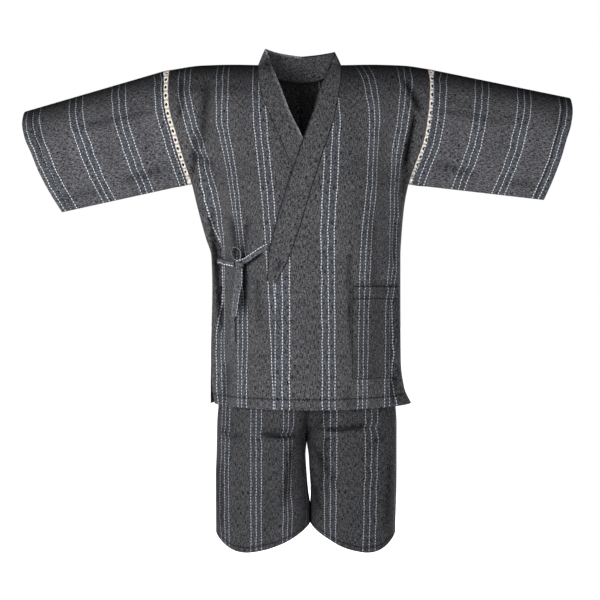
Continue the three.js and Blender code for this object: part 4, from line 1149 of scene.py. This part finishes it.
class Collar:
    """Half of the collar band, from the centre back down to the wrap."""

    def __init__(self, panel: BodyPanel, neck: tuple, chest: tuple, sizes: CollarSizes) -> None:
        """Works out the corners of every section."""
        self.panel, self.sizes, self.first_on_chest = panel, sizes, len(neck)
        seam = [row[:3] for row in neck]
        free = [row[3:] for row in neck]
        for seam_z, free_x, free_z in chest:
            seam.append(self.on_chest(panel.neck(seam_z), seam_z))
            free.append(self.on_chest(free_x, free_z))
        places = np.arange(len(seam))
        self.seam = [Smooth(places, column) for column in np.array(seam, float).T]
        self.free = [Smooth(places, column) for column in np.array(free, float).T]

    def on_chest(self, x: np.ndarray, z: np.ndarray) -> np.ndarray:
        """Points on the front, raised where it is the upper one."""
        x, z = np.asarray(x, float), np.asarray(z, float)
        return FORM.chest(x, z, upper_lift(x, z) * (self.panel.side is Side.LEFT))[0]

    def cloth(self) -> Cloth:
        """The whole half band."""
        sizes, sign = self.sizes, self.panel.sign
        last = len(self.seam[0].xs) - 1
        row = np.linspace(0, last, last * sizes.steps + 1)[:, None]
        share = np.linspace(0, 1, sizes.across + 1)[None, :]
        seam = np.stack([curve(row) for curve in self.seam], axis=-1)
        free = np.stack([curve(row) for curve in self.free], axis=-1)
        settled = fade(self.first_on_chest - sizes.settle, self.first_on_chest, row)
        inside = (self.panel.neck(np.minimum(seam[..., 2], NECK_TOP)) - seam[..., 0]) * settled
        at = seam * (1 - share[..., None]) + free * share[..., None]
        at[..., 0] += (inside + sign * sizes.cover) * (1 - share)
        chest = self.on_chest(at[..., 0], at[..., 2])
        at[..., 1] += (chest[..., 1] - at[..., 1]) * settled
        normals = grid_normals(at, -sign)
        at[0, :, 0] = -sign * CLOTH.seam
        width = np.linalg.norm(free - seam, axis=-1)
        cut = stacked(share * width * sign, lengths_along(seam[:, 0])[:, None])
        thick = sizes.wall + sizes.puff * np.sin(np.pi * share)[..., None]
        stitch = np.broadcast_to(share * width, at.shape[:2])
        # Painted light along the free edge: a highlight when the size is over 0, shade when it is under 0.
        dye_fade_and_painted_edge_light = 1 + sizes.painted_edge_light * np.exp(-(((1 - share) * width / sizes.edge) ** 2))
        return Cloth(at + normals * thick, normals, cut, stitch, np.broadcast_to(dye_fade_and_painted_edge_light, at.shape[:2]))


@dataclass
class PocketSizes:
    """Patch pocket on the left front: cloth lengths and shares of the panel's width."""

    top: float = 529.0
    bottom: float = 725.0
    inner: float = 7.75 / 16
    outer: float = 14.7 / 16
    gape: float = 4.0
    gape_reach: float = 40.0
    columns: int = 34
    hem: float = 27.0
    shade: float = 0.76  # the pocket sags out of the light

    def cloth(self, panel: BodyPanel) -> Cloth:
        """The pocket on its panel, standing open a little at the top."""
        t, shares = stations(self.top, self.bottom), np.linspace(self.inner, self.outer, self.columns)
        points, normals, w = panel.grid(t, shares)
        length = np.broadcast_to(t[:, None], w.shape)
        share = (shares - self.inner) / (self.outer - self.inner)
        gape = self.gape * np.sin(np.pi * share) * (1 - fade(self.top, self.top + self.gape_reach, length))
        out = 2 * CLOTH.wall + 2 * CLOTH.seam + gape
        from_side = np.minimum(w - w.min(axis=1, keepdims=True), w.max(axis=1, keepdims=True) - w)
        edges = np.minimum(from_side, np.minimum(length - self.top, self.bottom - length))
        stitch = nearer(length - self.top - self.hem, edges)
        cut = stacked(w - panel.group, length)
        return Cloth(points + normals * out[..., None], normals, cut, stitch, np.full(w.shape, self.shade))


@dataclass
class TieSizes:
    """The narrow ties at the side of the chest."""

    width: float = 12.0
    narrow: float = 10.4
    wall: float = 1.5
    out: float = 2.6  # distance of the ties from the lower front's inner face
    rolled: float = 1.2  # how much more cloth lies across a tie than shows, as its edges are rolled
    light: float = 1.35  # how much lighter the ties' cloth is drawn than the panels'
    loop_light: float = 1.0
    loop_height: float = 30.0
    loop_width: float = 21.0
    loop_depth: float = 10.4
    loop_turn: float = math.radians(32)  # how far the loop is turned from lying flat
    loop_seat: tuple = (-137.0, -407.2)  # x and height of the loop's place on the chest
    loop_out: float = 9.0
    loop_lean: float = -0.28  # x of the way up, to 1 of height
    loop_ends: tuple = (-80.0, 260.0)  # degrees round the loop
    loop_grid: tuple = (40, 9)  # points round it and across it
    loop_group: float = 11.0  # distance of its middle from the middle of a group of stripes
    knot_seat: tuple = (-130.0, -430.0)
    knot_out: float = 8.0
    knot_half: tuple = (9.5, 7.5, 9.0)
    knot_grid: tuple = (28, 18)
    knot_crease: float = 0.1
    knot_creases: float = 7.0  # how close its creases are, and how far they lean
    knot_lean: float = 0.6
    knot_cut: float = 20.0  # size of the cloth that shows on it, and its place across the stripes
    knot_group: float = 30.0
    steps: int = 10
    columns: int = 7
    crown: float = 0.9  # how far a strip's middle stands over its edges


class Ties:
    """The tied pair: two ends drawn together, a knot, a loop and two tails."""

    def __init__(self, sizes: TieSizes) -> None:
        """Keeps the sizes."""
        self.sizes = sizes

    def strip(self, route: tuple, width: float, group: float) -> Cloth:
        """A strip along points on the chest.

        Args:
            route: x, z and distance out of each point.
            width: Width of the strip.
            group: Distance of its middle from the middle of a group of stripes.

        Returns:
            The strip.
        """
        rows = np.array(route, float)
        spots, _ = FORM.chest(rows[:, 0], rows[:, 1], rows[:, 2])
        places = np.arange(len(rows))
        at_place = np.linspace(0, len(rows) - 1, (len(rows) - 1) * self.sizes.steps + 1)
        line = np.stack([Smooth(places, spots[:, k])(at_place) for k in range(3)], axis=-1)
        along = unit(np.gradient(line, axis=0))
        _, normal = FORM.chest(line[:, 0], line[:, 2], np.zeros(len(line)))
        across = unit(np.cross(along, normal))
        out = unit(np.cross(across, along))
        share = np.linspace(-0.5, 0.5, self.sizes.columns)[None, :, None]
        crown = self.sizes.crown * (1 - (2 * share) ** 2) + self.sizes.wall
        points = line[:, None] + across[:, None] * share * width + out[:, None] * crown
        normals = np.broadcast_to(out[:, None], points.shape)
        from_middle = share[..., 0] * width * self.sizes.rolled + group
        cut = stacked(from_middle, lengths_along(line)[:, None])
        return Cloth(points, normals, cut, shade=np.full(cut.shape[:2], self.sizes.light))

    def loop(self) -> Cloth:
        """The loop of the half bow, which doubles back on itself above the knot."""
        sizes = self.sizes
        base, normal = FORM.chest(*sizes.loop_seat, 0.0)
        up = unit(np.array([sizes.loop_lean, 0, 1]))
        flat = unit(np.cross(normal, up))
        side = flat * math.cos(sizes.loop_turn) + normal * math.sin(sizes.loop_turn)
        across = normal * math.cos(sizes.loop_turn) - flat * math.sin(sizes.loop_turn)
        centre = base + normal * (sizes.out + sizes.loop_out)
        angle = np.radians(np.linspace(*sizes.loop_ends, sizes.loop_grid[0]))[:, None, None]
        share = np.linspace(-0.5, 0.5, sizes.loop_grid[1])[None, :, None]
        round_up, round_side = up * np.sin(angle), side * np.cos(angle)
        points = (centre + round_up * sizes.loop_height / 2 + round_side * sizes.loop_width / 2
                  + across * share * sizes.loop_depth)
        normals = unit(round_up / sizes.loop_height + round_side / sizes.loop_width)
        length = angle[..., 0] * (sizes.loop_height + sizes.loop_width) / 4
        cut = stacked(share[..., 0] * sizes.loop_depth + sizes.loop_group, length)
        # Painted highlight along the loop's edges.
        dye_fade_and_painted_edge_light = sizes.loop_light * (1 + np.abs(2 * share[..., 0]) ** 4)
        return Cloth(points, np.broadcast_to(normals, points.shape), cut,
                     shade=np.broadcast_to(dye_fade_and_painted_edge_light, cut.shape[:2]))

    def knot(self, material: bpy.types.Material) -> bpy.types.Object:
        """The pulled knot: a ball creased where the ties pass round it."""
        sizes = self.sizes
        seat, _ = FORM.chest(*sizes.knot_seat, CLOTH.wall + sizes.knot_out)
        bm = bmesh.new()
        uv = bm.loops.layers.uv.new("cut")
        bmesh.ops.create_uvsphere(bm, u_segments=sizes.knot_grid[0], v_segments=sizes.knot_grid[1],
                                  radius=1.0, calc_uvs=True)
        for face in bm.faces:
            for corner in face.loops:
                corner[uv].uv = corner[uv].uv * sizes.knot_cut * MM + Vector((sizes.knot_group * MM, 0))
        for vert in bm.verts:
            turn = sizes.knot_creases * (vert.co.x + sizes.knot_lean * vert.co.z)
            crease = 1 - sizes.knot_crease * max(0.0, math.cos(turn)) ** 2
            ball = Vector([place * half for place, half in zip(vert.co, sizes.knot_half)])
            vert.co = ball * crease * MM + Vector(seat * MM)
        mesh = mesh_from(bm, "cloth_tie_knot")
        for attribute in ("stitch", "shade"):
            write_values(mesh, attribute, np.full(len(mesh.vertices), sizes.light))
        return object_from("cloth_tie_knot", mesh, material)


@dataclass
class ShortsSizes:
    """The shorts: x of the centre seams, and heights."""

    middle: float = 10.0
    top: float = -520.0
    crotch: float = -802.0
    hem: float = -1054.0
    hem_rise_inner: float = 60.0  # how much higher the hem is at a leg's inner edge
    hem_rise_outer: float = 41.0
    hem_curve_inner: float = 2.4  # how sharply it rises there
    hem_curve_outer: float = 2.6
    yoke: float = -700.0  # height of a row of the mesh
    inseam_drift: float = 8.0  # how far to the left the inner edges have come at the drift's end
    drift_end: float = -1000.0
    leg_gap: float = 4.6  # half of the gap between the legs where it is widest
    hem_line: float = 12.0
    square: float = 0.9  # below 1 the section is squarer than an ellipse
    gap_top: tuple = (-802.0, -850.0)  # heights in which the gap between the legs opens, then closes
    gap_bottom: tuple = (-920.0, -1010.0)
    least_gap: float = 0.1
    inner_painted_shade: float = 0.45  # painted shade: how much darker the legs are drawn at their inner edges
    inner_painted_shade_end: float = -760.0  # height below which that painted shade is full
    inner_reach: float = 0.07  # share of the way round the leg that gets the painted shade
    columns: int = 113
    band_columns: int = 193
    band_rows: int = 9
    band_wall: float = 2.8
    gather: float = 1.1  # how far the casing's folds stand out
    gathers: int = 46
    band_heights: tuple = (-519.7, -500.0, -481.0)
    band_inset: tuple = (0.0, 3.0, 9.0)


class Shorts:
    """Two legs and the casing above them."""

    def __init__(self, sizes: ShortsSizes) -> None:
        """Reads the table."""
        self.sizes = sizes
        self.table = Table("left right front back inner", SHORTS)

    def middle(self, z: np.ndarray) -> np.ndarray:
        """x of the plane between the legs."""
        sizes = self.sizes
        return sizes.middle + sizes.inseam_drift * fade(sizes.crotch, sizes.drift_end, z)

    def surface(self, side: Side, share: np.ndarray, z: np.ndarray) -> np.ndarray:
        """Points of a leg.

        Args:
            side: The wearer's side.
            share: From the front inner edge (0) round the outside to the back inner edge (1).
            z: Heights.

        Returns:
            Points, with a last axis of three.
        """
        sizes, middle = self.sizes, self.middle(z)
        inner = np.radians(self.table("inner", z))
        angle = (1 - 2 * share) * inner
        half = (self.table(side.name.lower(), z) - middle) / (1 - np.cos(inner))
        depth = np.where(angle > 0, -self.table("front", z), self.table("back", z))
        across = np.sign(np.cos(angle)) * np.abs(np.cos(angle)) ** sizes.square
        end = np.sign(np.cos(inner)) * np.abs(np.cos(inner)) ** sizes.square
        x = middle + half * (across - end) * (1 - np.cos(inner)) / (1 - end)
        down = np.clip((sizes.crotch - z) / (sizes.crotch - sizes.hem), 0, 1)
        inside = 0.5 - 0.5 * np.cos(angle)
        outside = np.maximum(np.cos(angle), 0)
        rise = down**2 * (sizes.hem_rise_inner * inside**sizes.hem_curve_inner
                          + sizes.hem_rise_outer * outside**sizes.hem_curve_outer)
        y = depth * np.abs(np.sin(angle)) ** sizes.square
        return stacked(x, y, z + rise)

    def leg(self, side: Side, plumb_x: float, group_arcs: tuple, shade: float) -> Cloth:
        """One leg.

        Args:
            side: The wearer's side.
            plumb_x: x of the group of stripes that hangs plumb on the front.
            group_arcs: Distances round the leg from it to the groups before it, itself and the next ones.
            shade: Painted shade: how light its cloth is drawn beside the jacket's, for the dimmer light on
                the shorts.

        Returns:
            The leg.
        """
        sizes, sign = self.sizes, side.value
        z = stations(sizes.top, sizes.yoke, sizes.crotch, sizes.hem)[:, None]
        share = np.linspace(0, 1, sizes.columns)[None, :]
        points = self.surface(side, share, z)
        normals = grid_normals(points, -sign)
        x, height = points[..., 0], points[..., 2]
        on_front = points[..., 1] < 0
        depth = np.where(on_front, folded(SHORTS_FOLDS, x, height), folded(SHORTS_BACK_FOLDS, x, height))
        open_to_light = np.where(on_front, lit(SHORTS_FOLDS, x, height), lit(SHORTS_BACK_FOLDS, x, height))
        points = points + normals * depth[..., None]
        outer = points + normals * CLOTH.wall
        parted = sizes.least_gap + sizes.leg_gap * fade(*sizes.gap_top, z) * (1 - fade(*sizes.gap_bottom, z))
        middle = self.middle(z)
        outer[..., 0] = sign * np.maximum((outer[..., 0] - middle) * sign, parted) + middle
        arc = np.cumsum(np.linalg.norm(np.diff(points, axis=1, prepend=points[:, :1]), axis=-1), axis=1)
        front = slice(0, points.shape[1] // 2)
        plumb = [np.interp(plumb_x * sign, row[front, 0] * sign, lengths[front])
                 for row, lengths in zip(points, arc)]
        pitch = CottonFinish.group_pitch
        flats = [k * pitch for k in range(-1, len(group_arcs) - 1)]
        across = Smooth(group_arcs, flats)(arc - np.array(plumb)[:, None])
        cut = stacked(across, -z)
        line = np.broadcast_to(z - sizes.hem - sizes.hem_line, arc.shape)
        # Painted shade along the legs' inner edges, where little light reaches between them.
        near_inner = np.exp(-((np.minimum(share, 1 - share) / sizes.inner_reach) ** 2))
        inside = 1 - sizes.inner_painted_shade * near_inner * fade(sizes.top, sizes.inner_painted_shade_end, z)
        return Cloth(outer, normals, cut, line, open_to_light * inside * shade)

    def waistband(self) -> Cloth:
        """The gathered casing, one ring with a seam at the centre back."""
        sizes = self.sizes
        share, down = np.linspace(0, 1, sizes.band_columns), np.linspace(0, 1, sizes.band_rows)
        left = share > 0.5
        turn = np.where(left, (share - 0.5) * 2, 1 - share * 2)
        top = np.full_like(share, sizes.top)
        ring = np.where(left[:, None], *(self.surface(side, turn, top) for side in Side))
        middle = np.array([sizes.middle, 0, sizes.top])
        flat = (ring - middle) * np.array([1, 1, 0])
        out = unit(flat)
        heights = np.linspace(sizes.band_heights[0], sizes.band_heights[-1], sizes.band_rows)
        inset = Smooth(sizes.band_heights, sizes.band_inset)(heights)
        gather = sizes.gather * np.sin(share * 2 * math.pi * sizes.gathers) * np.sin(np.pi * down)[:, None]
        points = ring + out * (gather + sizes.band_wall - inset[:, None])[..., None]
        points[..., 2] = heights[:, None]
        normals = np.broadcast_to(out, points.shape)
        cut = stacked(lengths_along(ring), heights[:, None])
        return Cloth(points, normals, cut)


# ---------- studio ----------
@dataclass(frozen=True)
class Lamp:
    """A soft square light aimed at the middle of the set: metres and watts."""

    AIM = (0, 0, -0.5)

    name: str
    at: tuple
    size: float
    watts: float

    def build(self) -> None:
        """Hangs the lamp."""
        data = bpy.data.lights.new(self.name, "AREA")
        data.size, data.energy = self.size, self.watts
        lamp = link(self.name, data)
        lamp.location = self.at
        lamp.rotation_euler = (Vector(self.AIM) - Vector(self.at)).to_track_quat("-Z", "Y").to_euler()


@dataclass
class Studio:
    """Camera, lights and floor, in metres."""

    camera_at: tuple = (-0.0044, -3.0, -0.506)
    lens: float = 81.8
    floor_z: float = -1.35
    walls: float = 1.0  # light from all round
    zenith: float = 0.02  # the room is dark overhead
    floor_size: float = 40.0
    floor_glow: float = 1.1
    dusk: tuple = (0.26, 0.5)  # how high the walls' light fades out, by the upward part of the way there
    lamps: tuple = (
        Lamp("key", (-1.4, -2.1, -0.05), 0.9, 53.0),
        Lamp("fill", (1.6, -3.2, 0.1), 1.6, 9.0),
        Lamp("back", (0.8, 2.8, -0.4), 2.0, 45.0),
    )

    def place_camera(self) -> None:
        """Puts the camera level in front of the set."""
        data = bpy.data.cameras.new("camera")
        data.lens = self.lens
        camera = link("camera", data)
        camera.location = self.camera_at
        camera.rotation_euler = (math.pi / 2, 0, 0)
        bpy.context.scene.camera = camera

    def light(self) -> None:
        """Pale walls all round, darker overhead, and the lamps."""
        world = bpy.data.worlds.new("studio")
        nodes = Nodes(world)
        direction = nodes.add("TexCoord")
        parts = nodes.add("SeparateXYZ", {0: direction.outputs["Generated"]})
        glow = nodes.add("MapRange", {"Value": parts.outputs["Z"], "From Min": self.dusk[0],
                                      "From Max": self.dusk[1], "To Min": self.walls, "To Max": self.zenith})
        white = nodes.add("Background", {"Color": (1.0, 1.0, 1.0, 1.0), "Strength": glow})
        nodes.add("OutputWorld", {0: white})
        bpy.context.scene.world = world
        bpy.context.scene.view_settings.view_transform = "Standard"
        for lamp in self.lamps:
            lamp.build()

    def lay_floor(self) -> None:
        """A wide pale floor below the set."""
        paint = bpy.data.materials.new("pale_floor_paint")
        nodes = Nodes(paint)
        surface = nodes.add("BsdfPrincipled", {
            "Base Color": linear("#ffffff"), "Roughness": 0.9, "Emission Color": linear("#ffffff"),
            "Emission Strength": self.floor_glow})
        nodes.add("OutputMaterial", {0: surface})
        bm = bmesh.new()
        bmesh.ops.create_grid(bm, x_segments=1, y_segments=1, size=self.floor_size)
        floor = object_from("floor", mesh_from(bm, "floor"), paint)
        floor.location = (0, 0, self.floor_z)


def main() -> None:
    """Builds the set piece by piece, then the studio."""
    logging.basicConfig(level=logging.INFO, format="%(name)s %(message)s")
    dresser = Dresser()
    left = BodyPanel(Side.LEFT, FALL_LEFT, threads=(56, 150, 244), group=56)
    right = BodyPanel(Side.RIGHT, FALL_RIGHT, threads=(70, 164, 258), group=70)
    sleeves = (
        Sleeve(left, SleeveSizes(top_x=586, top_z=-63, bottom_x=532, bottom_z=-285, group=0.042, cover=9)),
        Sleeve(right, SleeveSizes(top_x=-606, top_z=-93, bottom_x=-528, bottom_z=-312, group=0.075, cover=6)),
    )
    halves = {"front": stations(0, ARMHOLE.front), "back": stations(-ARMHOLE.back, -0.6)}
    for sleeve in sleeves:
        panel, name = sleeve.panel, sleeve.panel.side.name.lower()
        dresser.dress("body_" + name, panel.cloth(), dresser.body)
        for half, t in halves.items():
            node, sizes = f"lace_{name}_{half}", LaceSizes()
            piece, length = Lace(panel, t, sizes).build("cloth_" + node, dresser.lace)
            dresser.place(piece, node)
        dresser.dress("sleeve_" + name, sleeve.cloth(), dresser.sleeve)

    # Along its free edge the upper band gets painted shade, and the lower one a painted highlight.
    bands = ((left, NECK_LEFT, CHEST_LEFT, CollarSizes(painted_edge_light=-0.8)),
             (right, NECK_RIGHT, CHEST_RIGHT, CollarSizes(painted_edge_light=3.5)))
    for panel, neck, chest, collar in bands:
        name = panel.side.name.lower()
        band = Collar(panel, neck, chest, collar).cloth()
        dresser.dress("collar_" + name, band, dresser.plain, collar.wall)
    dresser.dress("pocket", PocketSizes().cloth(left), dresser.body)

    ties = Ties(TieSizes())
    out, wall = ties.sizes.out, ties.sizes.wall
    routes = {
        "tie_front": (((-71.5, -392, out + 0.6), (-88, -400, out + 1), (-106, -413, out + 4),
                       (-120, -421.5, out + 9), (-134, -427.5, out + 13.5)), ties.sizes.width, 9.5),
        "tie_side": (((-191, -422.5, 4.3), (-182, -422, out + 11), (-160, -425.5, out + 6),
                      (-140.3, -430, out + 6)), ties.sizes.narrow, -18.5),
        "tie_tail_wide": (((-129.5, -439.6, out + 8), (-129, -462, out + 10), (-133, -495, out + 9),
                           (-139, -541, out + 7)), ties.sizes.width, 7.25),
        "tie_tail_narrow": (((-133, -439.4, out + 4), (-137, -480, out + 4), (-142, -540, out + 3),
                             (-143, -594, out + 2)), ties.sizes.narrow, 30.0),
    }
    knot = ties.knot(dresser.body)
    dresser.place(knot, "tie_knot")
    for node, (route, width, group) in routes.items():
        strip = ties.strip(route, width, group)
        dresser.dress(node, strip, dresser.body, wall)
    dresser.dress("tie_loop", ties.loop(), dresser.body, wall)

    shorts = Shorts(ShortsSizes())
    # Each leg's shade is painted shade, darker on the wearer's left leg.
    left_leg = shorts.leg(Side.LEFT, plumb_x=60.6, group_arcs=(-94, 0, 90, 184), shade=0.63)
    right_leg = shorts.leg(Side.RIGHT, plumb_x=-98.2, group_arcs=(-70, 0, 76, 170), shade=0.73)
    dresser.dress("leg_left", left_leg, dresser.body)
    dresser.dress("leg_right", right_leg, dresser.body)
    dresser.dress("waistband", shorts.waistband(), dresser.plain, shorts.sizes.band_wall)

    studio = Studio()
    studio.place_camera()
    studio.light()
    studio.lay_floor()


if __name__ == "__main__":
    main()
